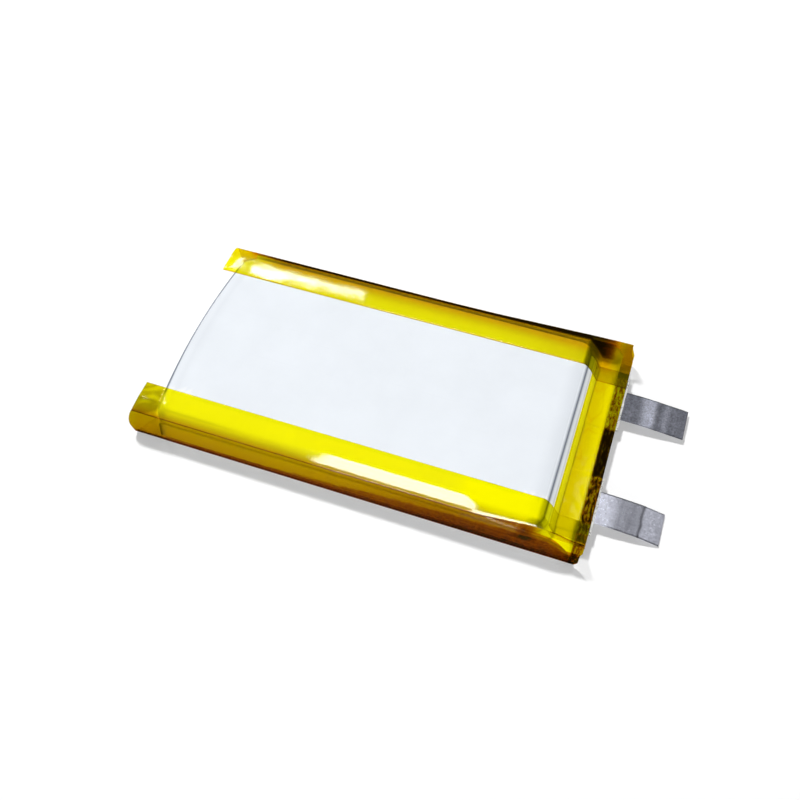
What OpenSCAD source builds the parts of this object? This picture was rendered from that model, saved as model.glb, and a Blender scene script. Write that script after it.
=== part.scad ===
// Lithium pouch cell: a flat-wound electrode roll in a heat-sealed laminate pouch,
// with two metal tabs and amber tape along its sides and over its terrace.
// Millimetres. +X points from the folded end of the pouch to the tabs, and +Z is up.
// The origin lies on the resting surface, under the middle of the overall length.
// The positive tab and its side tape are on the -Y side.

/* [Cell] */
// Thickness of the cell over its side tapes
cell_t = 5; // [4:0.1:8]
// Width of the cell over its side tapes
cell_w = 35; // [32:0.5:60]
// Length of the pouch, from its folded end to the cut edge of the terrace
pouch_l = 62; // [45:1:120]
// Height of the seal plane, where the two pouch shells meet
seal_z = 1.4; // [1.2:0.05:2]
// Clearance between layers that lie on each other
lay = 0.01; // [0.005:0.005:0.02]

/* [Pouch film] */
// Thickness of the aluminium laminate
lam_t = 0.12; // [0.08:0.01:0.15]
// Flat length of the sealed terrace in front of the cup
terrace_l = 2.8; // [2:0.1:6]
// Depth of the tips of the folded side seals below the upper face of the pouch
fold_drop = 0.73; // [0.6:0.05:1.5]
// How far the tip of a folded side seal leans in
fold_lean = 0.4; // [0.2:0.1:0.5]
// Radius of the fold along each side seal
fold_r = 0.3; // [0.2:0.05:0.4]
// Length of the rounded corner of the side seal next to the positive tab
positive_corner_l = 5; // [2:0.1:5]
// Length of the rounded corner of the side seal next to the negative tab
negative_corner_l = 2.7; // [2:0.1:5]
// Plan radius of the cup corners
cup_corner_r = 3; // [2:0.1:5]
// Gap between the foot of the cup wall and the folded side seal
cup_gap = 0.33; // [0.3:0.01:0.6]
// Draft of the cup walls
cup_draft = 0.1; // [0.05:0.05:0.3]
// Height of the rounded upper shoulder
shoulder_h = 2.4; // [1:0.1:2.4]
// Reach of the upper shoulder along the sides
shoulder_side = 1.9; // [1:0.1:2.2]
// Reach of the upper shoulder at the folded end
shoulder_fold = 2.6; // [1:0.1:3]
// Reach of the upper shoulder at the tab end
shoulder_tab = 0.8; // [0.4:0.1:1.5]
// Run of the sloping wall from the upper shoulder down to the terrace
slope_run = 1.6; // [0.8:0.1:3]
// Height and reach of the rounded lower edge
lower_edge = 0.9; // [0.6:0.1:1]
// How far the folded end bows out between its corners
fold_bow = 0.5; // [0:0.1:1]

/* [Tapes] */
// Thickness of the amber tape
tape_t = 0.06; // [0.04:0.01:0.08]
// Width of each face that a side tape covers
side_lap = 5.86; // [4:0.1:9]
// Overhang of the positive side tape past the folded end
positive_overhang = 2.5; // [0.5:0.1:4]
// Overhang of the negative side tape past the folded end
negative_overhang = 1.4; // [0.5:0.1:4]
// Height of the positive side tape where it ends beside the terrace
positive_rise = 2.7; // [2.6:0.1:4.2]
// Reach of the tapes past the cut edge of the terrace
tape_past = 1.6; // [1:0.1:3]
// Distance from each end of the terrace tape to the side of the cell
terrace_tape_inset = 3; // [2.5:0.1:4]
// Height on the sloping wall at which the upper terrace tape starts
terrace_tape_z = 2.3; // [1.9:0.1:2.4]

/* [Tabs] */
// Width of each tab
tab_w = 5; // [3:0.5:6]
// Thickness of each tab
tab_t = 0.08; // [0.06:0.01:0.09]
// Distance between the tab centres
tab_pitch = 17.4; // [14:0.2:18]
// Width of the sealing film on each tab
film_w = 9; // [6.5:0.5:9]
// Thickness of each layer of sealing film
film_t = 0.08; // [0.05:0.01:0.1]
// Reach of the sealing film past the tapes
film_out = 0.35; // [0.1:0.05:0.6]
// Reach of the tab from the sealing film to its fold line
fold_line_out = 0.35; // [0.2:0.05:1]
// Half of the gap across a tab's fold line
fold_gap = 0.06; // [0.05:0.01:0.1]
// Length of the tab that is welded inside the winding
weld_l = 30; // [15:1:36]

/* [Winding] */
// Thickness of the coated cathode strip
cathode_t = 0.13; // [0.13:0.005:0.17]
// Thickness of the bare aluminium foil
cathode_foil_t = 0.014; // [0.01:0.001:0.018]
// Thickness of the coated anode strip
anode_t = 0.135; // [0.13:0.005:0.17]
// Thickness of the bare copper foil
anode_foil_t = 0.01; // [0.006:0.001:0.014]
// Thickness of each separator
separator_t = 0.016; // [0.012:0.001:0.03]
// Clearance between wound layers
wound_gap = 0.008; // [0.006:0.001:0.02]
// Overlap of each separator past the anode, and of the anode past the cathode
overlap = 0.5; // [0.3:0.1:1.5]
// Thickness of the tape inside the cell
inner_tape_t = 0.02; // [0.015:0.001:0.022]
// Clearance between the winding and the faces of the pouch
roll_face_gap = 0.1; // [0.05:0.01:0.3]
// Clearance between the winding and the sides of the pouch
roll_side_gap = 0.25; // [0.15:0.05:1]
// Distance from the folded end to the winding
roll_start = 2.4; // [2.4:0.1:5]
// Distance from the winding to the end of the flat upper face
head_gap = 1; // [0.8:0.1:3]

/* [Hidden] */

// Bends of each free tab from its fold line outwards: angle down, radius, straight length
positive_bends = [[6, 30, 2.2], [8, 0.6, 3.2]];
negative_bends = [[6.5, 40, 4.2]];
// Facets of a shoulder, of a half turn of the winding, of a cup corner and of the bowed end
quarter_steps = 8;
winding_steps = 10;
corner_steps = 8;
bow_steps = 10;
// Slopes beside the pads over the tabs, and the room left round the films and their pads
step_ramp = 0.3;
film_margin = 0.1;
ramp_room = 0.05;
// Reach of the sealing films into the cup
film_in = 0.4;
// Clear lengths of a tab before and after its bend down to the seal
root_bend_start = 0.3;
root_bend_end = 0.5;
// Length over which the terrace tapes close on each other past the cut edge
tape_close_l = 0.5;
// Thickness of the sloping wall along X, as a share of the laminate
slope_wall = 1.2;

// Lengthways places, measured first from the folded end
tape_end_l = pouch_l + tape_past;
fold_line_l = tape_end_l + film_out + fold_line_out;
tab_reach = max(path_end(positive_bends), path_end(negative_bends)) + fold_gap;
fold_x = positive_overhang - (positive_overhang + fold_line_l + tab_reach) / 2;
pouch_x = fold_x + pouch_l;
cup_x = pouch_x - terrace_l;
tape_x = fold_x + tape_end_l;
fold_line_x = fold_x + fold_line_l;

// Heights of the stack
lower_z = tape_t + lay;
upper_z = cell_t - tape_t - lay;
seal_low = seal_z - lay / 2;
seal_high = seal_z + lay / 2;
pad_h = tab_t / 2 + film_t + 1.5 * lay;
shoulder_z = upper_z - shoulder_h;
fold_z = upper_z - fold_drop;
fold_h = fold_z - seal_z;
fold_y = cell_w / 2 - tape_t - lay - lam_t - lay / 2;
cup_y = fold_y - lam_t - lay / 2 - cup_gap;
tab_y = tab_pitch / 2;

// Side tape section
lap_y = cell_w / 2 - side_lap;
tip_room = 0.15;
tip_z = fold_z + tip_room;
side_straight_z = seal_z + 0.5;
bottom_r = 1;
shoulder_room = 0.35;
body_shoulder_y = cup_y - cup_draft - shoulder_side + shoulder_room;
terrace_shoulder_y = fold_y - fold_h;
tape_pile = 2 * (lay + tape_t);
// Lead of the tape over the rounded end of a side seal, so that it clears the curve between stations
chord_room = 0.25;

// Winding
layer_a = wound_gap;
layer_c = layer_a + separator_t + wound_gap;
layer_b = layer_c + cathode_t + wound_gap;
layer_n = layer_b + separator_t + wound_gap;
pitch = layer_n + anode_t + wound_gap - layer_a;
roll_z = (lower_z + upper_z) / 2;
roll_room = (upper_z - lower_z) / 2 - lam_t - roll_face_gap - inner_tape_t - wound_gap;
outer_layer = max(layer_a + pitch / 2, layer_b) + separator_t;
last_lap = floor((roll_room - outer_layer) / (pitch / 2));
roll_half = outer_layer + last_lap * pitch / 2;
roll_c = cup_y - cup_draft - lam_t - roll_side_gap - roll_half;
roll_x = fold_x + roll_start;
roll_end_x = cup_x - slope_run - shoulder_tab - head_gap;
closing_w = 14;
closing_inset = 8;
bottom_tape_w = 12;
bottom_tape_lap = 5;
weld_tape_margin = 1.5;

function reversed(p) = [for (i = [len(p) - 1 : -1 : 0]) p[i]];
function mirrored(p) = [for (q = p) [-q.x, q.y]];
function unit(v) = v / norm(v);
function to_left(v) = [-v.y, v.x];
function mix(a, b, w) = a + (b - a) * w;
function run(last) = [for (i = [0 : last]) i];

// A path moved to its left by d, with mitred corners
function shifted(p, d) = [
  for (i = [0 : len(p) - 1])
    let (j = max(i, 1), k = min(i, len(p) - 2), a = unit(p[j] - p[j - 1]), b = unit(p[k + 1] - p[k]))
      p[i] + d * (to_left(a) + to_left(b)) / (1 + a * b)
];
function band(p, d1, d2) = concat(shifted(p, d2), reversed(shifted(p, d1)));
function arc(centre, r, from, to, n) = [
  for (i = [0 : n]) let (a = mix(from, to, i / n)) centre + [r.x * cos(a), r.y * sin(a)]
];

// Outline [y, z] drawn along X, and outline [x, z] drawn along Y
module along_x(x, length) {
  translate([x, 0, 0]) rotate([90, 0, 90]) linear_extrude(length) children();
}
module along_y(y, width) {
  translate([0, y, 0]) rotate([90, 0, 0]) linear_extrude(width, center = true) children();
}

// Solid through rings of equal length, listed from low to high
module loft(rings) {
  n = len(rings[0]);
  m = len(rings) - 1;
  sides = [
    for (i = [0 : m - 1], j = [0 : n - 1])
      let (a = i * n + j, b = i * n + (j + 1) % n) each [[a, a + n, b + n], [a, b + n, b]]
  ];
  caps = [run(n - 1), [for (j = [n - 1 : -1 : 0]) m * n + j]];
  polyhedron([for (r = rings) each r], concat(caps, sides));
}

// Thin sheet between two grids of points, rows along X
module sheet(top, bottom) {
  m = len(top);
  n = len(top[0]);
  low = m * n;
  function at(i, j) = i * n + j;
  faces = [
    for (i = [0 : m - 2], j = [0 : n - 2])
      let (a = at(i, j), b = at(i, j + 1), c = at(i + 1, j + 1), d = at(i + 1, j))
        each [[a, b, c], [a, c, d], [low + a, low + c, low + b], [low + a, low + d, low + c]]
  ];
  edge = concat(
    [for (i = [0 : m - 2]) at(i, 0)],
    [for (j = [0 : n - 2]) at(m - 1, j)],
    [for (i = [m - 1 : -1 : 1]) at(i, n - 1)],
    [for (j = [n - 1 : -1 : 1]) at(0, j)]
  );
  rim = [
    for (k = [0 : len(edge) - 1])
      let (a = edge[k], b = edge[(k + 1) % len(edge)]) each [[a, b, low + b], [a, low + b, low + a]]
  ];
  polyhedron(concat([for (r = top) each r], [for (r = bottom) each r]), concat(faces, rim));
}

// Rounded outline of the cup at one height: insets from its foot at each side
function cup_ring(z, side, fold, tab) =
  let (y = cup_y - side, r = max(0.5, cup_corner_r - side), x0 = fold_x + fold, x1 = cup_x - tab)
  let (n = corner_steps, yf = y - r, x2 = x0 + fold_bow + r)
  [
    each [for (q = arc([x1 - r, yf], [r, r], 0, 90, n)) [q.x, q.y, z]],
    each [
      for (q = arc([x2, yf], [r, r], 90, 180, n))
        let (w = (x2 - q.x) / r) [q.x - fold_bow * w * (1 - pow(q.y / y, 2)), q.y, z]
    ],
    each [
      for (i = [1 : bow_steps - 1])
        let (v = yf * (1 - 2 * i / bow_steps)) [x0 + fold_bow * pow(v / y, 2), v, z]
    ],
    each [
      for (q = arc([x2, -yf], [r, r], 180, 270, n))
        let (w = (x2 - q.x) / r) [q.x - fold_bow * w * (1 - pow(q.y / y, 2)), q.y, z]
    ],
    each [for (q = arc([x1 - r, -yf], [r, r], 270, 360, n)) [q.x, q.y, z]]
  ];

// Rings of the upper cup from its foot to its flat face, set in by the wall
function upper_rings(wall) =
  let (top = upper_z - wall, h = top - shoulder_z, deep = upper_z - seal_high)
  concat(
    [cup_ring(wall > 0 ? seal_high - 1 : seal_high, wall, wall, slope_wall * wall)],
    wall > 0 ? [cup_ring(seal_high, wall, wall, slope_wall * wall)] : [],
    [
      for (i = [0 : quarter_steps])
        let (a = 90 * i / quarter_steps, z = shoulder_z + h * sin(a), c = 1 - cos(a), d = cup_draft + wall)
          cup_ring(
            z,
            d + (shoulder_side - wall) * c,
            d + (shoulder_fold - wall) * c,
            slope_wall * wall + slope_run * (z - seal_high) / deep + (shoulder_tab - wall) * c
          )
    ]
  );

// Rings of the lower cup from its flat face to its foot
function lower_rings(wall) =
  let (r = lower_edge - wall, edge_z = lower_z + lower_edge)
  concat(
    [
      for (i = [quarter_steps : -1 : 0])
        let (a = 90 * i / quarter_steps, in = cup_draft + wall + r * (1 - cos(a)))
          cup_ring(edge_z - r * sin(a), in, in, in)
    ],
    [cup_ring(seal_low, wall, wall, wall)],
    wall > 0 ? [cup_ring(seal_low + 1, wall, wall, wall)] : []
  );

// Where the two laminate layers meet, from fold tip to fold tip; pads lift over the tabs
function seal_half(lift) =
  let (w = film_w / 2 + film_margin, c = [fold_y - fold_r, seal_z + fold_r])
  concat(
    [
      [tab_y - w - step_ramp, seal_z],
      [tab_y - w, seal_z + lift],
      [tab_y + w, seal_z + lift],
      [tab_y + w + step_ramp, seal_z]
    ],
    arc(c, [fold_r, fold_r], -90, 0, 4),
    [[fold_y - fold_lean, fold_z]]
  );
function seal_line(lift) = concat(reversed(mirrored(seal_half(lift))), seal_half(lift));

// Height of the folded side seal along its rounded end
function fold_top(x, corner_l) =
  let (u = (x - pouch_x + corner_l) / corner_l)
    u <= 0 ? fold_z : seal_z + fold_h * sqrt(max(0, 1 - u * u));

module fold_corner_cut(side, corner_l) {
  c = [pouch_x - corner_l, seal_z + lam_t];
  round_end = arc(c, [corner_l, fold_z - c.y], 90, 0, 10);
  along_y(side * fold_y, 2)
    polygon(concat(round_end, [[pouch_x + 1, c.y], [pouch_x + 1, fold_z + 1], [c.x, fold_z + 1]]));
}

// Flange of one laminate layer: the terrace and both folded side seals
module flange(lift, d1, d2) {
  start = fold_x + fold_bow + 1;
  difference() {
    along_x(start, pouch_x - start) polygon(band(seal_line(lift), d1, d2));
    fold_corner_cut(-1, positive_corner_l);
    fold_corner_cut(1, negative_corner_l);
  }
}

// Room for the sealing films under the foot of the cup wall
module film_passage(low, high) {
  for (s = [-1, 1])
    translate([cup_x - 1, s * tab_y - film_w / 2 - film_margin, low])
      cube([1.001, film_w + 2 * film_margin, high - low]);
}

module pouch_upper_shell() {
  color("gainsboro") difference() {
    union() {
      flange(pad_h, lay / 2, lay / 2 + lam_t);
      loft(upper_rings(0));
    }
    loft(upper_rings(lam_t));
    film_passage(seal_low, seal_high + pad_h);
  }
}

module pouch_lower_shell() {
  color("silver") difference() {
    union() {
      flange(-pad_h, -lay / 2 - lam_t, -lay / 2);
      loft(lower_rings(0));
    }
    loft(lower_rings(lam_t));
    film_passage(seal_low - pad_h, seal_high);
  }
}

// Places across the folded side seal at a height: its inner and outer faces with the tape on them
function fold_lean_at(z) = fold_lean * max(0, z - seal_z - fold_r) / (fold_h - fold_r);
function tip_outer(z) = fold_y - fold_lean_at(z) + lam_t + 1.5 * lay + tape_t;
function tip_inner(z) = fold_y - fold_lean_at(z) - lam_t - 1.5 * lay - tape_t;

// Section of a side tape, outer face from the upper lap round to the lower lap
function tape_section(face, tip, under, shoulder, tip_y) = concat(
  [[lap_y, face], [(lap_y + shoulder) / 2, face]],
  [
    for (i = [0 : quarter_steps])
      let (a = 90 * i / quarter_steps) [mix(shoulder, tip_y, sin(a)), mix(face, tip, 1 - cos(a))]
  ],
  [[tip_outer(tip), tip], [cell_w / 2, side_straight_z]],
  arc([cell_w / 2 - bottom_r, bottom_r], [bottom_r, bottom_r], 0, -90, 4),
  [[terrace_shoulder_y, under], [lap_y, under]]
);

// Outer face of the cup at the tab end: [x, z] at a shoulder angle
function slope_at(a) =
  let (z = shoulder_z + shoulder_h * sin(a), deep = upper_z - seal_high)
    [cup_x - slope_run * (z - seal_high) / deep - shoulder_tab * (1 - cos(a)), z];

// Stations of a side tape: [x, face, tip, under, shoulder, tip_y]
function tape_stations(overhang, corner_l, rise) =
  let (
    body = body_shoulder_y,
    flat = terrace_shoulder_y,
    body_tip = tip_outer(tip_z) - tape_t,
    pads = seal_high + lam_t + pad_h + tape_pile,
    past = seal_z + pad_h + tape_pile + lay,
    below = 2 * seal_z - pads,
    tip = function(x) max(rise, fold_top(x, corner_l) + tip_room)
  )
  concat(
    [for (x = [fold_x - overhang, slope_at(90).x]) [x, cell_t, tip_z, 0, body, body_tip]],
    [
      for (i = [quarter_steps - 1 : -1 : 0])
        let (u = i / quarter_steps, q = slope_at(90 * u), z = tip(q.x))
          [q.x, q.y + (i > 0 ? lay + tape_t : tape_pile), z, 0, mix(flat, body, u), tip_inner(z)]
    ],
    [
      for (u = [0, 0.35, 0.6, 0.8, 0.95])
        let (x = mix(cup_x, pouch_x, u), z = tip(x - chord_room))
          [x, pads, z, u > 0 ? below : 0, flat, tip_inner(z)]
    ],
    [[pouch_x + ramp_room, pads, rise, below, flat, tip_inner(rise)]],
    [[tape_x, past, rise, below, flat, tip_inner(rise)]]
  );

module side_tape(side, overhang, corner_l, rise) {
  stations = tape_stations(overhang, corner_l, rise);
  sections = [for (s = stations) tape_section(s[1], s[2], s[3], s[4], s[5])];
  function grid(depth) = [
    for (i = [0 : len(stations) - 1])
      let (p = shifted(sections[i], -depth), q = side > 0 ? p : reversed(mirrored(p)))
        [for (v = q) [stations[i][0], v.x, v.y]]
  ];
  color("goldenrod") sheet(grid(0), grid(tape_t));
}

module positive_side_tape() {
  side_tape(-1, positive_overhang, positive_corner_l, positive_rise);
}

module negative_side_tape() {
  side_tape(1, negative_overhang, negative_corner_l, tip_z);
}

// Under face of the upper terrace tape: rows [x, height, height over the tabs]
function terrace_rows() =
  let (
    deep = upper_z - seal_high,
    on_slope = function(z) cup_x - slope_run * (z - seal_high) / deep,
    film_z = seal_high + lam_t,
    start_z = min(terrace_tape_z, shoulder_z),
    over = lay + pad_h
  )
  [
    [on_slope(start_z), start_z + lay, start_z + lay],
    [on_slope(film_z + pad_h), film_z + over, film_z + over],
    [cup_x + ramp_room, film_z + lay, film_z + over],
    [pouch_x + ramp_room, film_z + lay, film_z + over],
    [pouch_x + tape_close_l, seal_high, seal_high + over],
    [tape_x, seal_high, seal_high + over]
  ];

// Places across the terrace: [y, 1 over a tab or 0]
function terrace_places() =
  let (w = film_w / 2 + film_margin + ramp_room, half = cell_w / 2 - terrace_tape_inset)
  let (q = [
    [tab_y - w - step_ramp, 0],
    [tab_y - w, 1],
    [tab_y + w, 1],
    [tab_y + w + step_ramp, 0],
    [half, 0]
  ])
    concat(reversed(mirrored(q)), q);

module terrace_tape(rows) {
  function grid(lift) = [
    for (r = rows) [for (p = terrace_places()) [r[0], p.x, mix(r[1], r[2], p.y) + lift]]
  ];
  color("gold") sheet(grid(tape_t), grid(0));
}

module terrace_tape_upper() {
  terrace_tape(terrace_rows());
}

module terrace_tape_lower() {
  rows = terrace_rows();
  flat_rows = [for (i = [2 : len(rows) - 1]) rows[i]];
  translate([0, 0, 2 * seal_z]) mirror([0, 0, 1]) terrace_tape(flat_rows);
}

// Points [x, z] of a tab that is bent downwards step by step
function bent(start, heading, bends, i = 0) =
  i == len(bends) ? [start] :
  let (
    turn = bends[i][0],
    r = bends[i][1],
    n = r > 5 ? 4 : 1,
    c = start - r * [sin(heading), cos(heading)],
    curve = [for (k = [0 : n]) let (a = heading + turn * k / n) c + r * [sin(a), cos(a)]],
    end = curve[n] + bends[i][2] * [cos(heading + turn), -sin(heading + turn)]
  )
    concat(curve, bent(end, heading + turn, bends, i + 1));
function path_end(bends) = let (p = bent([0, 0], 0, bends)) p[len(p) - 1].x;
function without_repeats(p) = [
  for (i = [0 : len(p) - 1]) if (i == 0 || norm(p[i] - p[i - 1]) > 0.001) p[i]
];

module free_tab(side, bends) {
  path = without_repeats(bent([fold_line_x + fold_gap, seal_z], 0, bends));
  along_y(side * tab_y, tab_w) polygon(band(path, -tab_t / 2, tab_t / 2));
}

// Fixed length of a tab: along the winding, down to the seal and out through it
module tab_root(side, z) {
  bend_start = roll_end_x + root_bend_start;
  bend_end = cup_x - root_bend_end;
  path = concat(
    [[roll_end_x - weld_l, z]],
    [
      for (i = [0 : 8])
        [mix(bend_start, bend_end, i / 8), mix(z, seal_z, (1 - cos(180 * i / 8)) / 2)]
    ],
    [[fold_line_x - fold_gap, seal_z]]
  );
  along_y(side * tab_y, tab_w) polygon(band(path, -tab_t / 2, tab_t / 2));
}

module tab_film(side, up) {
  start = cup_x - film_in;
  z = seal_z + (up ? tab_t / 2 + lay : -tab_t / 2 - lay - film_t);
  translate([start, side * tab_y - film_w / 2, z]) cube([tape_x + film_out - start, film_w, film_t]);
}

cathode_tab_z = roll_z + layer_c + cathode_foil_t + wound_gap / 2 + tab_t / 2;
anode_tab_z = roll_z + layer_n + anode_foil_t + wound_gap / 2 + tab_t / 2;

module positive_tab() {
  color("lightsteelblue") free_tab(-1, positive_bends);
}

module negative_tab() {
  color("darkgray") free_tab(1, negative_bends);
}

module positive_tab_root() {
  color("lightsteelblue") tab_root(-1, cathode_tab_z);
}

module negative_tab_root() {
  color("darkgray") tab_root(1, anode_tab_z);
}

module positive_film_upper() {
  color("ivory") tab_film(-1, true);
}

module positive_film_lower() {
  color("ivory") tab_film(-1, false);
}

module negative_film_upper() {
  color("ivory") tab_film(1, true);
}

module negative_film_lower() {
  color("ivory") tab_film(1, false);
}

// Flattened spiral at a depth r in the winding: flats joined by half circles
function lap_side(k) = k % 2 == 0 ? 1 : -1;
function lap_z(r, k) = r + k * pitch / 2;
function spiral(r, last, end_y) = concat(
  [[-roll_c, r]],
  [
    for (k = [0 : last - 1], j = [0 : winding_steps])
      let (s = lap_side(k), a = 90 * s - 180 * j / winding_steps, radius = lap_z(r, k) + pitch / 4)
        [s * roll_c, -s * pitch / 4] + radius * [cos(a), sin(a)]
  ],
  [lap_side(last) * [end_y, lap_z(r, last)]]
);

// Outline of a wound strip that starts as bare foil along its first flat
function wound(r, thick, foil, last, end_y) =
  let (outer = spiral(r + thick, last, end_y), step = roll_c - 0.5)
    concat(
      [[-roll_c, r + foil], [step, r + foil]],
      foil < thick ? [[step, r + thick]] : [],
      [for (i = [1 : len(outer) - 1]) outer[i]],
      reversed(spiral(r, last, end_y))
    );

module winding_strip(inset, outline) {
  x = roll_x + inset;
  translate([0, 0, roll_z]) along_x(x, roll_end_x - inset - x) polygon(outline);
}

module cathode_strip() {
  color("dimgray")
    winding_strip(2 * overlap, wound(layer_c, cathode_t, cathode_foil_t, last_lap - 2, roll_c));
}

module anode_strip() {
  color("sienna") winding_strip(overlap, wound(layer_n, anode_t, anode_foil_t, last_lap - 1, roll_c));
}

module inner_separator() {
  color("white") winding_strip(0, wound(layer_a, separator_t, separator_t, last_lap + 1, closing_w / 2));
}

module outer_separator() {
  color("whitesmoke") winding_strip(0, wound(layer_b, separator_t, separator_t, last_lap, roll_c));
}

// Insulating tape over a tab where it is welded to the bare foil
module weld_tape(side, tab_z) {
  w = tab_w + 2 * weld_tape_margin;
  x = roll_end_x - weld_l - weld_tape_margin;
  translate([x, side * tab_y - w / 2, tab_z + tab_t / 2 + wound_gap / 2])
    cube([roll_end_x - x, w, inner_tape_t]);
}

module cathode_weld_tape() {
  color("mediumseagreen") weld_tape(-1, cathode_tab_z);
}

module anode_weld_tape() {
  color("mediumseagreen") weld_tape(1, anode_tab_z);
}

// Tape that holds down the outer end of the winding
module roll_closing_tape() {
  s = lap_side(last_lap + 1);
  y = s * closing_w / 2;
  z = roll_z + s * (roll_half + wound_gap + inner_tape_t / 2);
  x = roll_x + closing_inset;
  color("mediumseagreen") translate([x, y - closing_w / 2, z - inner_tape_t / 2])
    cube([roll_end_x - closing_inset - x, closing_w, inner_tape_t]);
}

// Tape folded round the lower end of the winding
module roll_bottom_tape() {
  x = roll_x - wound_gap - inner_tape_t / 2;
  h = roll_half + wound_gap + inner_tape_t / 2;
  lap_x = roll_x + bottom_tape_lap;
  path = [[lap_x, roll_z + h], [x, roll_z + h], [x, roll_z - h], [lap_x, roll_z - h]];
  color("mediumseagreen") along_y(0, bottom_tape_w)
    polygon(band(path, -inner_tape_t / 2, inner_tape_t / 2));
}

pouch_upper_shell();
pouch_lower_shell();
positive_side_tape();
negative_side_tape();
terrace_tape_upper();
terrace_tape_lower();
positive_tab();
positive_tab_root();
positive_film_upper();
positive_film_lower();
negative_tab();
negative_tab_root();
negative_film_upper();
negative_film_lower();
cathode_strip();
anode_strip();
inner_separator();
outer_separator();
cathode_weld_tape();
anode_weld_tape();
roll_closing_tape();
roll_bottom_tape();
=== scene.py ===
"""Pouch battery cell: the visual model of a taped lithium pouch cell, built round its CAD frame."""
from math import copysign, cos, exp, pi, radians, sin, sqrt, tan

import bmesh
import bpy
from bpy.props import FloatProperty, FloatVectorProperty, PointerProperty
from mathutils import Matrix, Vector, noise


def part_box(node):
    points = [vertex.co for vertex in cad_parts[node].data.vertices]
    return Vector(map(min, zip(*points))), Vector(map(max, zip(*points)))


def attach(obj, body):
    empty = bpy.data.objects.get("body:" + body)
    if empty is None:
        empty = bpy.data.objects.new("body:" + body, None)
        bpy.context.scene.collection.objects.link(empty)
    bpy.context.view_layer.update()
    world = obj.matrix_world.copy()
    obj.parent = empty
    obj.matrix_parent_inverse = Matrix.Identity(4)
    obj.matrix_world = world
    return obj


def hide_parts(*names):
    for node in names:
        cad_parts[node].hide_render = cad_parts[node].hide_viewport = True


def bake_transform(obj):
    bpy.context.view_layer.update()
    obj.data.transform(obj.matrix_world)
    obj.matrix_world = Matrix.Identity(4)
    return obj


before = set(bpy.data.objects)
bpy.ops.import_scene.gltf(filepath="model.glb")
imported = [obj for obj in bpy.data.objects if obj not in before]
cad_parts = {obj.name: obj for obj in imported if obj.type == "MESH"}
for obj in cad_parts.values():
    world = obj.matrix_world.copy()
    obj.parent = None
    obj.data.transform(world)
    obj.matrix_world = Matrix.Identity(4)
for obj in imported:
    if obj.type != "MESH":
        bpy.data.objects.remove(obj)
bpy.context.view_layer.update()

bl_info = {
    "name": "Pouch Battery Cell",
    "version": (1, 0, 0),
    "blender": (4, 5, 0),
    "location": "3D View > Sidebar > Pouch Cell",
    "description": "Builds a taped pouch cell with foil tabs on its CAD frame",
    "category": "Add Mesh",
}

# Shapes are worked out in millimetres and scaled to metres when their mesh is finished.
MM = 0.001
SIDES = {"positive": -1, "negative": 1}
HALVES = {"upper": True, "lower": False}
UP = Vector((0.0, 0.0, 1.0))
QUARTER = pi / 2
LAYER_GAP = 0.01
CAD_TAPE = 0.06
TAPE_TOP = LAYER_GAP + CAD_TAPE  # outer face of a tape over what it lies on
FILM = 0.08  # thickness of a sealing film
BOX_CLEARANCE = 0.005  # keeps rippled tape inside the CAD's width
CUP_HALF = 16.85  # half width of the cup at its foot
SEAL_TIP_Z, SEAL_RADIUS = 4.2, 0.3  # tips of the folded side seals and the radius of their fold
SEAL_ENDS = {"positive": 5.0, "negative": 2.7}  # length of their rounded ends at the tabs
SEAL_START, SEAL_ROUND = 1.0, 1.2  # their start past the bowed end, and its rounding
FLANGE_START = (0.7, 1.6)  # their flange widens between these places past the bowed end
PAD_EDGE = (0.1, 0.4)  # the terrace steps up to a film between these distances from it


def box_mm(node):
    """Lowest and highest corner of a CAD node in millimetres."""
    low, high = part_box(node)
    return low / MM, high / MM


def size_prop(about, millimetres):
    """A length in the panel, given in millimetres."""
    return FloatProperty(name=about, default=millimetres * MM, min=0.0, precision=6, unit="LENGTH")


def colour_prop(about, value):
    """A colour in the panel."""
    return FloatVectorProperty(name=about, default=value, size=3, min=0.0, max=1.0, subtype="COLOR")


class PouchCellSizes(bpy.types.PropertyGroup):
    """Sizes of the visible pieces that the CAD boxes don't give."""

    laminate: size_prop("Thickness of the laminate", 0.12)
    tape: size_prop("Thickness of the amber tape as drawn", 0.045)
    corner: size_prop("Plan radius of the cup corners", 3.0)
    draft: size_prop("Draft of the cup walls", 0.1)
    shoulder: size_prop("Height of the rounded upper shoulder", 2.4)
    shoulder_side: size_prop("Reach of the shoulder along the sides", 2.3)
    shoulder_fold: size_prop("Reach of the shoulder at the folded end", 1.2)
    shoulder_tab: size_prop("Reach of the shoulder at the tab end", 0.8)
    slope: size_prop("Run of the sloping wall down to the terrace", 1.6)
    terrace: size_prop("Length of the sealed terrace", 2.8)
    bow: size_prop("How far the folded end bows out", 1.25)
    bulge: size_prop("How far the bowed fold stands out past the straight one", 0.87)
    lower_edge: size_prop("Radius of the rounded lower edge", 0.9)
    seal_lean: size_prop("How far the folded side seals lean in", 0.4)
    tab: size_prop("Thickness of each tab", 0.08)
    tape_edge: size_prop("Radius of the side tape round the lower edge", 0.55)
    ripple: size_prop("Height of the ripples where the tape lies flat", 0.003)


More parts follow.
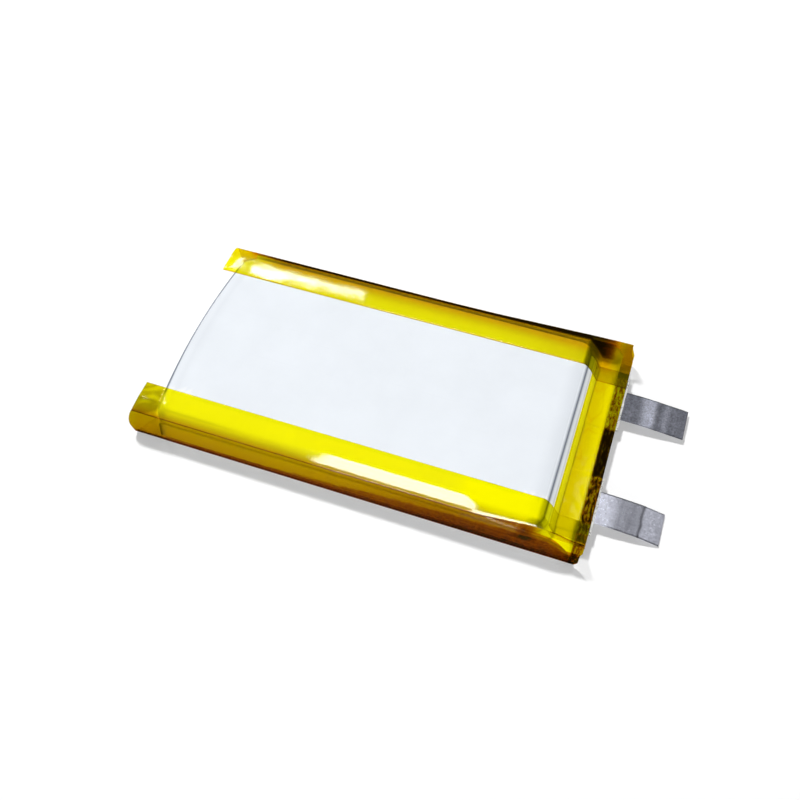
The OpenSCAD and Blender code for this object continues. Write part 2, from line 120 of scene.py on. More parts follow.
class PouchCellColours(bpy.types.PropertyGroup):
    """Colours of the visible finishes; those of the tape are the light that one of its faces lets through,
    and its darker ones carry painted shade.
    """

    laminate: colour_prop("Satin outer face of the pouch", (0.79, 0.828, 0.872))
    # Painted light: the laminate is painted lighter towards this colour under the side tapes and on the slope
    # and terrace, where the lamps light it too little.
    wet: colour_prop("Laminate where the adhesive wets it", (0.93, 0.93, 0.93))
    # Painted shade: the laminate is darkened towards this colour at its steep folded end and at the creases
    # of its tab end.
    crease_shade: colour_prop("Laminate where it is creased or steep", (0.12, 0.14, 0.19))
    amber: colour_prop("Thin tape", (0.99, 0.97, 0.01))
    honey: colour_prop("Tape in the broader laps", (0.893, 0.801, 0.005))
    gold: colour_prop("Tape where it is doubled", (0.865, 0.64, 0.0025))
    # Painted shade: the brown, umber and deepest stops darken the tape along its sides, its lower edge, its
    # rims and corners, where shade falls, besides the real deepening where it lies doubled.
    brown: colour_prop("Tape along the sides", (0.64, 0.314, 0.0016))
    umber: colour_prop("Tape along the lower edge", (0.476, 0.185, 0.001))
    deepest_shade: colour_prop("Tape where it is deepest", (0.185, 0.152, 0.004))
    aluminium: colour_prop("Positive tab", (0.74, 0.757, 0.87))
    nickel: colour_prop("Negative tab", (0.74, 0.765, 0.9))
    film: colour_prop("Milky film on the tabs", (0.86, 0.86, 0.82))
    floor: colour_prop("Plain floor", (0.98, 0.98, 0.98))


def mix(a, b, t):
    """The value a share of the way from a to b."""
    return a + (b - a) * t


def ease(low, high, value):
    """0 at low, 1 at high, soft at both ends; it falls where low is above high."""
    t = min(1.0, max(0.0, (value - low) / (high - low)))
    return t * t * (3 - 2 * t)


def bell(value, middle, width):
    """1 at the middle, fading on both sides of it."""
    return exp(-(((value - middle) / width) ** 2))


def round_off(u):
    """Height of a quarter circle a share of the way along it, 1 before its start."""
    return sqrt(max(0.0, 1 - max(0.0, u) ** 2))


def wave(point, length, seed):
    """Smooth random value from -1 to 1 at a point, the same at each run."""
    return noise.noise(Vector(point) / length + Vector((7.3, 3.1, 1.7)) * seed)


class CellPlan:
    """Places of the cell in millimetres, from the CAD frame and the panel's sizes."""

    def __init__(self, sizes):
        for name in sizes.__annotations__:
            setattr(self, name, getattr(sizes, name) / MM)
        low, high = box_mm("pouch_upper_shell")
        self.fold_x, self.pouch_x, self.upper_z = low.x - self.bulge, high.x, high.z
        self.bow_x = self.fold_x + self.bow
        self.free_x = self.fold_x + 0.8 * self.bow
        self.seal_z = low.z - LAYER_GAP / 2
        self.fold_y = high.y + LAYER_GAP / 2
        self.fold_z, self.fold_r = SEAL_TIP_Z, SEAL_RADIUS
        self.lower_z = box_mm("pouch_lower_shell")[0].z
        self.terrace_tape = box_mm("terrace_tape_upper")
        self.tape_x = self.terrace_tape[1].x
        low, high = box_mm("negative_side_tape")
        self.lap_y, self.half_width, self.cell_z = low.y, high.y - BOX_CLEARANCE, high.z
        low, high = box_mm("negative_film_upper")
        self.tab_y = (low.y + high.y) / 2
        self.film_half = high.y - self.tab_y
        self.cup_x = self.pouch_x - self.terrace
        self.cup_y = CUP_HALF
        self.face = LAYER_GAP / 2 + self.laminate
        self.pad_h = self.tab / 2 + FILM + 1.5 * LAYER_GAP
        self.deep = self.upper_z - self.seal_z - LAYER_GAP / 2
        self.overhang = {s: self.fold_x - box_mm(s + "_side_tape")[0].x for s in SIDES}

    def pad(self, y):
        """1 over a tab's sealing film, 0 beside it."""
        return 1 - ease(*PAD_EDGE, abs(abs(y) - self.tab_y) - self.film_half)

    def run_at(self, z):
        """How far the sloping end wall has come in at a height."""
        return self.slope * (z - self.seal_z - LAYER_GAP / 2) / self.deep

    def seal_top(self, x, side):
        """Height of the tip of a folded side seal, rounded off at both ends."""
        at_tabs = (x - self.pouch_x) / SEAL_ENDS[side] + 1
        at_fold = (self.bow_x + SEAL_START + SEAL_ROUND - x) / SEAL_ROUND
        return mix(self.seal_z, self.fold_z, round_off(at_tabs) * round_off(at_fold))

    def lean_at(self, z):
        """How far a folded side seal leans in at a height."""
        low = self.seal_z + self.fold_r
        return self.seal_lean * max(0.0, z - low) / (self.fold_z - low)

    def past_edge(self, x):
        """1 past the cut edge of the terrace, where the tapes meet each other."""
        return ease(self.pouch_x - 0.05, self.pouch_x + 0.25, x)


END_HALF = 13.85  # half length of the straight part of the tab end
FILM_EDGES = (3.75, 3.9, 4.05, 4.2, 13.2, 13.35, 13.5, 13.65)  # close places where the films end
CORNER_STEPS, SIDE_STEPS, FOLD_STEPS = 20, 56, 30
LEAST_CORNER = 0.5


def ring_places():
    """Places round the cup in order: kind of edge, side and share of the edge."""
    end = sorted({float(y) for y in range(-13, 14)} | {s * y for s in (-1, 1) for y in FILM_EDGES})
    corner = [i / CORNER_STEPS for i in range(CORNER_STEPS + 1)]
    along = [i / SIDE_STEPS for i in range(1, SIDE_STEPS)]
    half = [(kind, t) for kind, shares in (("end_corner", corner), ("side", along), ("fold_corner", corner))
            for t in shares]
    places = [("end", 0, y / END_HALF) for y in end]
    places += [(kind, 1, t) for kind, t in half]
    places += [("fold", 0, 1 - 2 * i / FOLD_STEPS) for i in range(1, FOLD_STEPS)]
    return places + [(kind, -1, t) for kind, t in reversed(half)]


PLACES = ring_places()


def cup_ring(plan, z, side, fold, end):
    """Points of the rounded cup outline at one height, set in from its foot."""
    y = plan.cup_y - side
    r = max(LEAST_CORNER, plan.corner - side)
    x0, x1 = plan.fold_x + fold, plan.cup_x - end
    x_end, x_fold, flat = x1 - r, x0 + plan.bow + r, y - r
    points = []
    for kind, s, t in PLACES:
        a = t * QUARTER
        if kind == "end":
            p = (x1, t * flat)
        elif kind == "end_corner":
            p = (x_end + r * cos(a), s * (flat + r * sin(a)))
        elif kind == "side":
            p = (mix(x_end, x_fold, t), s * y)
        elif kind == "fold_corner":
            py = flat + r * cos(a)
            p = (x_fold - r * sin(a) - plan.bow * sin(a) * (1 - (py / y) ** 2), s * py)
        else:
            v = t * flat
            p = (x0 + plan.bow * (v / y) ** 2, v)
        points.append(Vector((*p, z)))
    return points


def side_share(plan, place, x):
    """1 where the flange of a side seal stands, 0 at the folded end."""
    return 0.0 if place[0] == "fold" else ease(*FLANGE_START, x - plan.bow_x)


def flange_ring(plan, foot, face_z, lift):
    """Outer edge of the flat flange, where the side seals start to fold."""
    y_fold = plan.fold_y - plan.fold_r
    x_end, flat = plan.cup_x - plan.corner, plan.cup_y - plan.corner
    points = []
    for place, p in zip(PLACES, foot):
        kind, s, t = place
        a = t * QUARTER
        if kind == "end":
            q = (plan.pouch_x, p.y, face_z + lift * plan.pad(p.y))
        elif kind == "end_corner" and t <= 0.5:
            q = (plan.pouch_x, s * mix(flat, y_fold, tan(a)), face_z)
        elif kind == "end_corner":
            q = (mix(x_end, plan.pouch_x, 1 / tan(a)), s * y_fold, face_z)
        else:
            w = side_share(plan, place, p.x)
            q = (p.x, copysign(mix(abs(p.y), y_fold, w), p.y), mix(p.z, face_z, w))
        points.append(Vector(q))
    return points


class Loft:
    """A sheet drawn ring by ring: the open edge is extruded and its points are moved to the next ring."""

    def __init__(self, first):
        self.bm = bmesh.new()
        self.order = self.bm.verts.layers.int.new("order")
        bmesh.ops.create_circle(self.bm, segments=len(first), radius=1.0)
        self.bm.verts.ensure_lookup_table()
        for i, v in enumerate(self.bm.verts):
            v[self.order] = i
            v.co = first[i]
        self.edges = list(self.bm.edges)

    def extrude(self, place, keep=None):
        """Extrudes the open edge; place(order) gives each new point, keep(order) says which go on."""
        if keep is not None:
            self.edges = [e for e in self.edges if all(keep(v[self.order]) for v in e.verts)]
        made = bmesh.ops.extrude_edge_only(self.bm, edges=self.edges)["geom"]
        fresh = {g for g in made if isinstance(g, bmesh.types.BMVert)}
        for v in fresh:
            v.co = place(v[self.order])
        self.edges = [g for g in made if isinstance(g, bmesh.types.BMEdge) and fresh.issuperset(g.verts)]


def grid_sheet(rows, columns, looks=()):
    """A level sheet of one unit a side, with its rows along X, and its vertex layers."""
    bm = bmesh.new()
    layers = [bm.verts.layers.float.new(name) for name in looks]
    bmesh.ops.create_grid(bm, x_segments=rows, y_segments=columns, size=0.5)
    return bm, layers


def face_out(bm, way):
    """Turns a sheet's faces so that it looks the given way on the whole."""
    bmesh.ops.recalc_face_normals(bm, faces=bm.faces)
    bm.normal_update()
    if sum(f.normal.dot(way) * f.calc_area() for f in bm.faces) < 0:
        bmesh.ops.reverse_faces(bm, faces=bm.faces)
    bm.normal_update()


def build_object(name, bm, nodes, materials, body="cell", wall=None):
    """Makes the finished object of a mesh in place on its body; wall thickens a sheet inwards."""
    bmesh.ops.scale(bm, vec=(MM, MM, MM), verts=bm.verts)
    mesh = bpy.data.meshes.new(name)
    bm.to_mesh(mesh)
    bm.free()
    mesh.shade_smooth()
    for material in materials:
        mesh.materials.append(material)
    obj = bpy.data.objects.new(name, mesh)
    bpy.context.scene.collection.objects.link(obj)
    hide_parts(*nodes)
    if body is not None:
        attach(obj, body)
    if wall is not None:
        sheet = obj.modifiers.new("thickness", "SOLIDIFY")
        sheet.thickness, sheet.offset = wall * MM, -1.0
        sheet.use_even_offset = True
        sheet.material_offset_rim = len(materials) - 1
    return obj


LEVEL_INSETS = (13.4, 12.2, 11.0, 9.0, 7.0, 5.5, 4.0, 3.0, 2.2, 1.5, 1.0, 0.6, 0.3, 0.1)
WALL_SHARES = (0.35, 0.65, 0.85, 0.95, 1.0)
FLANGE_SHARES = (0.04, 0.15, 0.35, 0.6, 0.85, 1.0)
TURN_SHARES = (0.25, 0.5, 0.75, 1.0)
RISE_SHARES = (0.2, 0.4, 0.6, 0.8, 0.92, 1.0)
SHOULDER_STEPS = 24
LEAST_RISE = 0.03  # of a seal that has run out
FACE_RIPPLE, FACE_RIPPLE_LENGTH = 0.012, 6.0
LEVEL_Z = 4.9  # the upper face is level above this height


def laminate_sheet(plan, upper):
    """One half of the drawn laminate, from the middle of its face to the tips of the folded side seals."""
    sign = 1 if upper else -1
    face_z = plan.seal_z + sign * plan.face
    meet_z = plan.seal_z + sign * LAYER_GAP / 2
    top_z, drop = (plan.upper_z, plan.shoulder) if upper else (plan.lower_z, -plan.lower_edge)

    def ring(z, share, inset=0.0):
        """Ring of the cup at a height, set in by a share of the rounded edge's reach and by an inset."""
        ways = [(plan.draft, plan.lower_edge)] * 3
        if upper:
            ways = ((plan.draft, plan.shoulder_side), (plan.draft, plan.shoulder_fold),
                    (plan.run_at(z), plan.shoulder_tab))
        return cup_ring(plan, z, *[start + reach * share + inset for start, reach in ways])

    rings = [ring(top_z, 1.0, inset) for inset in LEVEL_INSETS]
    for i in range(SHOULDER_STEPS + 1):
        a = QUARTER * (1 - i / SHOULDER_STEPS)
        rings.append(ring(top_z - drop * (1 - sin(a)), 1 - cos(a)))
    brim = rings[-1]
    foot = cup_ring(plan, face_z, *((LAYER_GAP, 0.0, plan.run_at(face_z)) if upper else (0.0, 0.0, 0.0)))
    for place, p in zip(PLACES, foot):
        p.z = mix(meet_z, face_z, side_share(plan, place, p.x))
        if place[0] == "end":
            lift = plan.pad_h * plan.pad(p.y)
            p.z += sign * lift
            p.x -= plan.slope * lift / plan.deep if upper else 0.0
    edge = flange_ring(plan, foot, face_z, sign * plan.pad_h)
    bend = plan.fold_r - sign * plan.face
    centre_y, centre_z = plan.fold_y - plan.fold_r, plan.seal_z + plan.fold_r

    def standing(i):
        return side_share(plan, PLACES[i], foot[i].x)

    def on_flange(i):
        return standing(i) > 0

    def on_side(i):
        kind, _, t = PLACES[i]
        if kind == "fold_corner":
            return standing(i) > 0.99
        return kind == "side" or kind == "end_corner" and t >= 0.5

    def seal_point(i, out, z):
        return Vector((edge[i].x, copysign(centre_y + out, edge[i].y), z))

    def turned(i, share):
        a = QUARTER * share
        return seal_point(i, bend * sin(a), centre_z - bend * cos(a))

    def raised(i, share):
        side = "positive" if edge[i].y < 0 else "negative"
        z = mix(centre_z, max(centre_z + LEAST_RISE, plan.seal_top(edge[i].x, side)), share)
        return seal_point(i, bend - plan.lean_at(z), z)

    loft = Loft(rings[0])
    bm = loft.bm
    bmesh.ops.edgeloop_fill(bm, edges=loft.edges)
    for points in rings[1:]:
        loft.extrude(lambda i: points[i])
    for share in WALL_SHARES:
        loft.extrude(lambda i: brim[i].lerp(foot[i], share))
    for share in FLANGE_SHARES:
        loft.extrude(lambda i: foot[i].lerp(edge[i], share), on_flange)
    for share in TURN_SHARES:
        loft.extrude(lambda i: turned(i, share), on_side)
    for share in RISE_SHARES:
        loft.extrude(lambda i: raised(i, share), on_side)
    bmesh.ops.remove_doubles(bm, verts=bm.verts, dist=1e-4)
    face_out(bm, sign * UP)
    tone, wet = (bm.verts.layers.float.new(name) for name in ("tone", "wet"))
    for v in bm.verts if upper else ():
        x, y, z = v.co
        # Painted shade at the folded end and the creases.
        v[tone] = painted_laminate_shade(plan, x, y, z)
        # Painted light under the side tapes and on the slope and terrace.
        near_lap, far_lap = (ease(plan.lap_y - 0.1, plan.lap_y, s * y) for s in (-1, 1))
        terrace = ease(4.0, 3.4, z) * ease(plan.cup_x - 2.6, plan.cup_x - 2.2, x)
        v[wet] = max(near_lap, terrace, 0.35 * far_lap)
        if abs(v.normal.z) > 0.9 and abs(z - plan.seal_z) > 1.0:
            v.co.z += FACE_RIPPLE * (wave(v.co, FACE_RIPPLE_LENGTH, 1) - 1)
    return bm


def painted_laminate_shade(plan, x, y, z):
    """Painted shade on the laminate at a point: a band of shade and dark reflection along the steep folded
    end, shade lines at the creases of the tab end, a soft shade band where the shoulder starts, the face
    shaded towards the tab end and a faint shade line inside the near tape.
    """
    past_fold = x - plan.fold_x - plan.bow * (y / plan.cup_y) ** 2
    steep = ease(2.6, 1.8, past_fold) * ease(LEVEL_Z, 4.74, z) * ease(4.15, 4.4, z)
    steep *= 1 - 0.8 * ease(plan.lap_y + 0.3, plan.lap_y + 1.6, -y)
    soft = 0.05 * bell(past_fold, 2.4, 0.5)
    top_x = plan.cup_x - plan.slope - plan.shoulder_tab
    brink = 0.13 * ease(top_x - 2.4, top_x + 0.3, x) * (z > LEVEL_Z)
    crease_shade = ease(top_x - 0.1, top_x + 0.4, x) * (bell(z, 4.5, 0.18) + 0.4 * bell(z, 3.62, 0.12))
    inner = 0.2 * bell(z, 4.83, 0.045) * ease(-20.0, -27.0, x) * (y < -plan.lap_y)
    return min(1.0, steep + soft + brink + crease_shade + inner)


# Tape looks: depth of amber colour with painted shade in it, gloss, darkness of the shadow that the tape
# casts, an even painted shade, and mottle past the cut edge.
TAPE_LOOKS = ("depth", "gloss", "loose", "dim", "flake")
# Parts of a side tape's section, from its upper to its lower lap, with the steps in each.
SECTION_PARTS = (("flat", 12), ("turn", 22), ("tip", 4), ("side", 26), ("edge", 8), ("under", 12))
BODY_STEPS, SLOPE_STEPS = 8, 16
TERRACE_SHARES = (0.0, 0.15, 0.35, 0.5, 0.6, 0.7, 0.8, 0.88, 0.95)
NEAR_CREST = (0.37, 16.6, 16.68)  # rise over CREST_ROOM, inner and outer place
LEAN_IN, LEAN_BACK, CREST_SAG = 0.65, 0.3, 0.3  # of the near crest at the tab end
LEAN_PLACES, SAG_START = (18.8, 21.2), 23.5  # along X
FAR_FLARE = (0.52, 0.36)  # rise and reach of the far crest at the tab end
CREST_ROOM = 0.15  # height of a tape's crest over the seal that it wraps
NEAR_SHOULDER = (14.2, 15.3)  # where the near tape turns up, along the cell and on the terrace
FAR_SHOULDER = 15.2
KNEE_Z = 3.2  # lowest bend of the near tape over the seal's rounded end
SIDE_FALL = 1.7  # power by which the points of a tape's side close up towards its crest


def side_stations(plan, side):
    """Sections of a side tape along X: [x, face, tip, under, shoulder, tip_y, out, knee_z, knee_y]."""
    near = side == "positive"
    pile = 2 * TAPE_TOP
    tip_z = plan.fold_z + CREST_ROOM
    body, flat = NEAR_SHOULDER if near else (FAR_SHOULDER, plan.fold_y - (plan.fold_z - plan.seal_z))
    pads = plan.seal_z + plan.face + plan.pad_h + pile
    below = 2 * plan.seal_z - pads
    rise, crest_in, crest_out = NEAR_CREST

    def fold(z, outer):
        """Distance from the middle of the tape's fold over the standing seal, inside or outside."""
        reach = plan.laminate + 1.5 * LAYER_GAP + CAD_TAPE
        return plan.fold_y - plan.lean_at(z) + (reach if outer else -reach)

    def crest(x, tip_y, spread):
        """Height, inner and outer place of the crest: drawn in on the near side, flared at the far end."""
        if near:
            lean = LEAN_IN * ease(*LEAN_PLACES, x) - LEAN_BACK * ease(SAG_START, plan.pouch_x, x)
            sag = CREST_SAG * ease(SAG_START, plan.tape_x, x)
            return [tip_z + rise + 0.12 * lean - sag, crest_in - lean, crest_out - lean]
        flare = ease(0.0, plan.tape_x - 1.0, x)
        up, out = (share * flare for share in FAR_FLARE)
        return [tip_z + up, tip_y + out * spread, fold(tip_z, True) + out]

    def slope_at(a):
        z = plan.upper_z - plan.shoulder + plan.shoulder * sin(a)
        return plan.cup_x - plan.run_at(z) - plan.shoulder_tab * (1 - cos(a)), z

    def knee(x):
        """Height and place of the near tape's bend over the rounded end of the seal, below its crest."""
        u = (x - 0.25 - plan.pouch_x) / SEAL_ENDS[side] + 1
        top = max(KNEE_Z, mix(plan.seal_z, plan.fold_z, round_off(u)) + CREST_ROOM)
        w = ease(KNEE_Z, tip_z, top)
        return [top + rise * w, mix(fold(top, True), crest_out, w)]

    def row(x, face, under, shoulder, tip_y, spread=0.0):
        z, inner, outer = crest(x, tip_y, spread)
        return [x, face, z, under, shoulder, inner, outer] + (knee(x) if near else [z, outer])

    start, slope_x = plan.fold_x - plan.overhang[side], slope_at(QUARTER)[0]
    body_y, end_y = fold(tip_z, True) - CAD_TAPE, fold(tip_z, False)
    rows = []
    for i in range(BODY_STEPS + 1):
        rows.append(row(mix(start, slope_x, i / BODY_STEPS), plan.cell_z, 0.0, body, body_y, 1.0))
    for i in range(SLOPE_STEPS - 1, -1, -1):
        u = i / SLOPE_STEPS
        x, z = slope_at(QUARTER * u)
        face = z + mix(pile, TAPE_TOP, min(1.0, u * 8))
        spread = ease(0.75, 1.0, u)
        rows.append(row(x, face, 0.0, mix(flat, body, u), mix(end_y, body_y, spread), spread))
    for u in TERRACE_SHARES:
        x = mix(plan.cup_x, plan.pouch_x, u)
        rows.append(row(x, pads, below * ease(0.0, 0.3, u), flat, end_y))
    rows.append(row(plan.pouch_x + 0.05, pads, below, flat, end_y))
    rows.append(row(plan.tape_x, plan.seal_z + plan.pad_h + pile + LAYER_GAP, below, flat, end_y))
    return rows


def at_station(rows, x):
    """The section of a side tape at a place between its stations."""
    for a, b in zip(rows, rows[1:]):
        if x <= b[0]:
            t = (x - a[0]) / (b[0] - a[0])
            return [mix(p, q, t) for p, q in zip(a, b)]
    return rows[-1]


def side_section(plan, row, near):
    """Outer face of a side tape across one section: (y, z, part of the section, share of the part)."""
    x, face, tip, under, shoulder, tip_y, out, knee_z, knee_y = row
    half, r = plan.half_width, plan.tape_edge
    brow = 0.35 * ease(19.0, 22.5, x) if near else 0.0
    points = []
    for part, count in SECTION_PARTS:
        for i in range(count + (part == "under")):
            s = i / count
            a = QUARTER * s
            label = part
            if part == "flat":
                y, z = mix(plan.lap_y, shoulder, s), face
            elif part == "turn" and near:
                y, z = mix(shoulder, tip_y, s), mix(face, tip, s ** 1.5)
            elif part == "turn":
                y, z = mix(shoulder, tip_y, sin(a)), mix(face, tip, 1 - cos(a))
            elif part == "tip":
                mid, reach = (tip_y + out) / 2, (out - tip_y) / 2
                y, z = mid - reach * cos(2 * a), tip + 0.3 * reach * sin(2 * a)
            elif part == "side" and s < brow:
                label, s = "brow", s / brow
                y, z = mix(out, knee_y, s), mix(tip, knee_z, s)
            elif part == "side":
                s = (s - brow) / (1 - brow)
                down = s ** SIDE_FALL
                y, z = mix(knee_y, half, min(1.0, down / 0.58) ** 0.42), mix(knee_z, r, down)
            elif part == "edge":
                y, z = half - r + r * cos(a), r - r * sin(a)
            else:
                y = mix(half - r, plan.lap_y, s)
                z = under * ease(half - 1, plan.fold_y - 2.8, y)
            points.append((y, z, label, s))
    return points


# Looks of the side tapes: x is a place along the cell in millimetres, s a share of the way across a part.


def far_tint_and_shade(plan, x, part, s):
    """Depth of colour of the far side tape, from its thin lap on the face to its doubled rim, with painted
    shade towards its rim, down its side and at the tab end.
    """
    left, tip = ease(-27.0, -33.0, x), ease(-32.5, -35.0, x)
    corner = ease(plan.cup_x + 0.6, plan.pouch_x, x)
    lap = mix(mix(0.42, 0.12, left), 0.16, corner)
    if part == "flat":
        return 0.4 if s == 0 else 0.04 + lap * s ** 3 + 0.08 * ease(10.0, 21.0, x)
    if part == "side":
        tone, thin = mix(0.62, 0.8, s), 0.2
    elif part == "edge":
        tone, thin = 0.9, 0.2
    else:
        # Painted shade along the far rim, lighter where the rim lies open.
        open_rim = max(left, 2.2 * ease(plan.cup_x - 1.0, plan.pouch_x, x))
        rim = 0.46 * ease(0.34, 0.44, s) * (1 - 0.4 * open_rim)
        tone, thin = 0.04 + lap + 0.08 * ease(0.05, 0.3, s) + rim, 0.16
    return mix(mix(tone, thin, tip), 0.24, corner)


def near_tint_and_shade(x, part, s):
    """Depth of colour of the near side tape: pale on the face, with painted shade down its side and along its
    lower edge, and a painted gleam near the tab end.
    """
    # Painted dark line along the crest near the tab end.
    line = ease(23.2, 24.0, x)
    if part == "flat":
        return 0.1 if s == 0 else 0.0
    if part == "turn":
        share = 1 - 0.5 * ease(12.0, 18.0, x) - 0.4 * ease(21.0, 23.0, x)
        return 0.46 * s ** 2.4 * share + 0.5 * line * ease(0.86, 1.0, s)
    if part == "tip":
        return 0.82 - 0.57 * ease(20.0, 22.5, x) * (1 - line)
    # Painted gleam: the brow is painted dark, then light near the tab end.
    if part == "brow":
        return mix(0.75, 0.06, ease(20.8, 22.8, x)) + 0.4 * line * ease(0.22, 0.0, s)
    # Painted shade along the lower edge.
    if part == "edge":
        return mix(0.74, 0.8, ease(-10.0, 10.0, x))
    # Painted shade down the side: darker towards its foot, below a ragged line and towards the tab end.
    down = s ** SIDE_FALL
    cut = mix(0.85, 0.2, ease(-34.0, 20.0, x))
    cut += 0.07 * wave((x, 0, 0), 2.0, 41) + 0.06 * wave((x, 3 * down, 0), 0.9, 42)
    tone = mix(0.37, 0.56, down) * mix(0.75, 1.0, ease(-37.6, -36.6, x))
    tone += 0.2 * ease(-16.0, 17.0, x) + 0.2 * ease(cut - 0.04, cut + 0.04, down)
    tone += 0.12 * ease(0.8, 1.0, down)
    # Painted dark patch of shade just below the crest near the tab end.
    return tone + 0.3 * bell(x, 20.2, 1.1) * ease(0.5, 0.2, down)


def tape_gloss(near, x, part, s):
    """How strongly a side tape shines: its cut edges, its rim and its sides are dull."""
    if part == "flat":
        fade = (9.0, 12.0) if near else (20.6, 21.4)
        return 0.0 if s == 0 else 1 - ease(*fade, x)
    if not near:
        return ease(0.3, 0.05, s) * ease(21.4, 20.6, x) if part == "turn" else 0.0
    if part == "turn":
        low = mix(-0.2, 0.8, ease(8.5, 15.5, x)) + 0.12 * ease(17.0, 24.0, x)
        return ease(low - 0.15, low + 0.02, s)
    if part == "side":
        gleam = ease(11.0, 13.0, x) * ease(20.0, 18.0, x) * ease(0.4, 0.15, s)
        return mix(0.04, 0.45, gleam)
    return 0.6 * ease(24.0, 22.5, x) if part == "tip" else 0.0


def side_looks(plan, near, slope_x, x, y, part, s):
    """Looks of a side tape at a point, in the order of TAPE_LOOKS, with its painted shade, and how loosely it
    lies there.
    """
    upper, lap = part in ("flat", "turn", "tip"), part in ("flat", "turn")
    past_free = x - plan.free_x
    corner = ease(slope_x + 1.2, plan.pouch_x, x)
    past = plan.past_edge(x)
    slope = lap * ease(slope_x - 0.4, slope_x + 0.3, x)
    # Deeper where the tapes lie doubled; past the cut edge the near tape is also painted darker for shade.
    stacked = corner * lap * (0.08 if near and part == "flat" else 0.04)
    stacked += past * (0.25 if near and part not in ("flat", "under") else 0.1)
    at_end = ease(plan.pouch_x - 1.0, plan.pouch_x, x)
    if part == "under":
        depth = mix(0.3, 0.02, ease(3.0, 1.5, past_free)) * (1 - s)
    else:
        depth = near_tint_and_shade(x, part, s) if near else far_tint_and_shade(plan, x, part, s)
    gloss = tape_gloss(near, x, part, s) * (1 - 0.9 * corner)
    if near:
        free = ease(0.75, 0.35, past_free - 0.2 * (y - 12.6) - (0.0 if upper else 0.5))
        # Painted shade: the loose near end is painted darker, more in its wrinkles, for the shade under it.
        crease_shade = 1 - ease(0.0, 0.4, abs(wave((x * 0.5 + y, y * 0.3 - x * 0.4, 0), 1.3, 44)))
        depth += (0.1 + 0.08 * crease_shade) * free * upper
        gloss *= 1 - 0.75 * free
        wall = (part in ("side", "edge")) * ease(2.8, 1.8, past_free)
        loose = max(wall, at_end * (0.2 if part in ("turn", "tip", "brow") else 0.9))
        # Painted shade under the sloping end, in the fold by the tab end and over the loose end.
        dim = 0.28 * slope * ease(23.4, 22.2, x)
        if part == "turn":
            folded = ease(20.0, 21.6, x + 0.4 * s) * ease(22.6, 22.0, x)
            dim += 0.3 * folded * ease(0.2, 0.6, s)
        if upper:
            dim += free * (0.18 + 0.12 * crease_shade + 0.1 * (part != "flat"))
        elif part != "under":
            dim += 0.3 * free
    else:
        free = ease(0.3, -1.2, past_free)
        gloss *= 1 - 0.4 * free
        loose = 0.4 * at_end
        # Painted shade under the sloping end, at the tab end corner and along the far rim.
        dim = max(0.66 * slope * ease(24.2, 22.6, x), 0.16 * ease(plan.cup_x + 0.6, plan.pouch_x, x))
        if part in ("turn", "tip"):
            start = mix(0.4, 0.28, ease(2.0, 20.0, x))
            rim = ease(start, start + 0.15, s) if part == "turn" else 1.0
            rim *= mix(0.58, 0.78, ease(-8.0, 16.0, x)) * (1 - 0.3 * ease(22.0, 24.5, x))
            dim = max(dim, rim * ease(-33.0, -27.0, x) * (1 - corner))
    return (min(1.0, depth + stacked), gloss, loose, dim, past * near), max(free, corner)


FINE_STEP, WIDE_STEP = 0.14, 0.55  # between a tape's cross rows, at its loose ends and along the cell
CUT_SLANT = 0.85  # slant of the near tape's lower lap at its loose end
END_BULGE = 0.5  # how far the near tape's loose end stands out past its cut
BULGE_TOP, BULGE_HEIGHT = 4.8, 4.4


def tape_rows(stations, fine_from, plan):
    """Places along X of a tape's cross rows: close together at its loose ends."""
    places, end = [stations[0][0]], stations[-1][0]
    while places[-1] < end - 0.02:
        x = places[-1]
        step = FINE_STEP if x < plan.free_x + 0.6 or x > fine_from else WIDE_STEP
        places.append(min(end, x + step))
    return places


def side_tape(plan, side):
    """One side tape as a rippled sheet that wraps the edge of the cell."""
    sign, near = SIDES[side], side == "positive"
    stations = side_stations(plan, side)
    slope_x = stations[BODY_STEPS][0]
    xs = tape_rows(stations, slope_x - 1.0, plan)
    rows, columns = len(xs) - 1, sum(n for _, n in SECTION_PARTS)
    bm, layers = grid_sheet(rows, columns, TAPE_LOOKS)
    sections = [side_section(plan, at_station(stations, x), near) for x in xs]
    lifts = {}
    for v in bm.verts:
        i, j = round((v.co.x + 0.5) * rows), round((v.co.y + 0.5) * columns)
        x, (y, z, part, s) = xs[i], sections[i][j]
        cut_back = CUT_SLANT * s * max(0.0, plan.free_x + 0.8 - x) if near and part == "under" else 0.0
        v.co = (x + cut_back, sign * y, z)
        looks, lifts[v] = side_looks(plan, near, slope_x, x, y, part, s)
        for layer, value in zip(layers, looks):
            v[layer] = value
    face_out(bm, Vector((0.0, sign, 0.0)))
    seed, swell = (2, 14) if near else (5, 7)
    for v in bm.verts:
        height = plan.ripple * (1 + swell * lifts[v])
        lift = height * (wave(v.co, 3.0, seed) + 0.5 * wave(v.co, 1.1, seed + 1) - 0.2)
        if v.co.z < 0.5:
            lift = min(0.0, lift)
        end = ease(plan.pouch_x - 0.3, plan.tape_x, v.co.x) * ease(15.5, 16.8, abs(v.co.y))
        v.co += v.normal * lift
        if near:
            loose_end = ease(plan.free_x - 0.5, xs[0], v.co.x) * (v.co.y < -15)
            down = min(1.0, max(0.0, (BULGE_TOP - v.co.z) / BULGE_HEIGHT))
            v.co.x -= END_BULGE * loose_end * sin(pi * down)
            v.co.x -= end * (0.4 + 0.6 * ease(1.4, 0.0, v.co.z))
        else:
            v.co.x -= end * 0.6 * ease(2.0, 4.5, v.co.z)
        v.co.z = max(0.0, min(plan.cell_z, v.co.z))
    return bm


TERRACE_EDGE_Z = 3.35  # upper edge of the upper terrace tape on the slope
TERRACE_STEPS = (20, 6, 12)
TERRACE_COLUMNS = 300
TERRACE_RIPPLE, PINCH = 0.012, 0.05  # height of the ripples and of the puckers past the cut edge


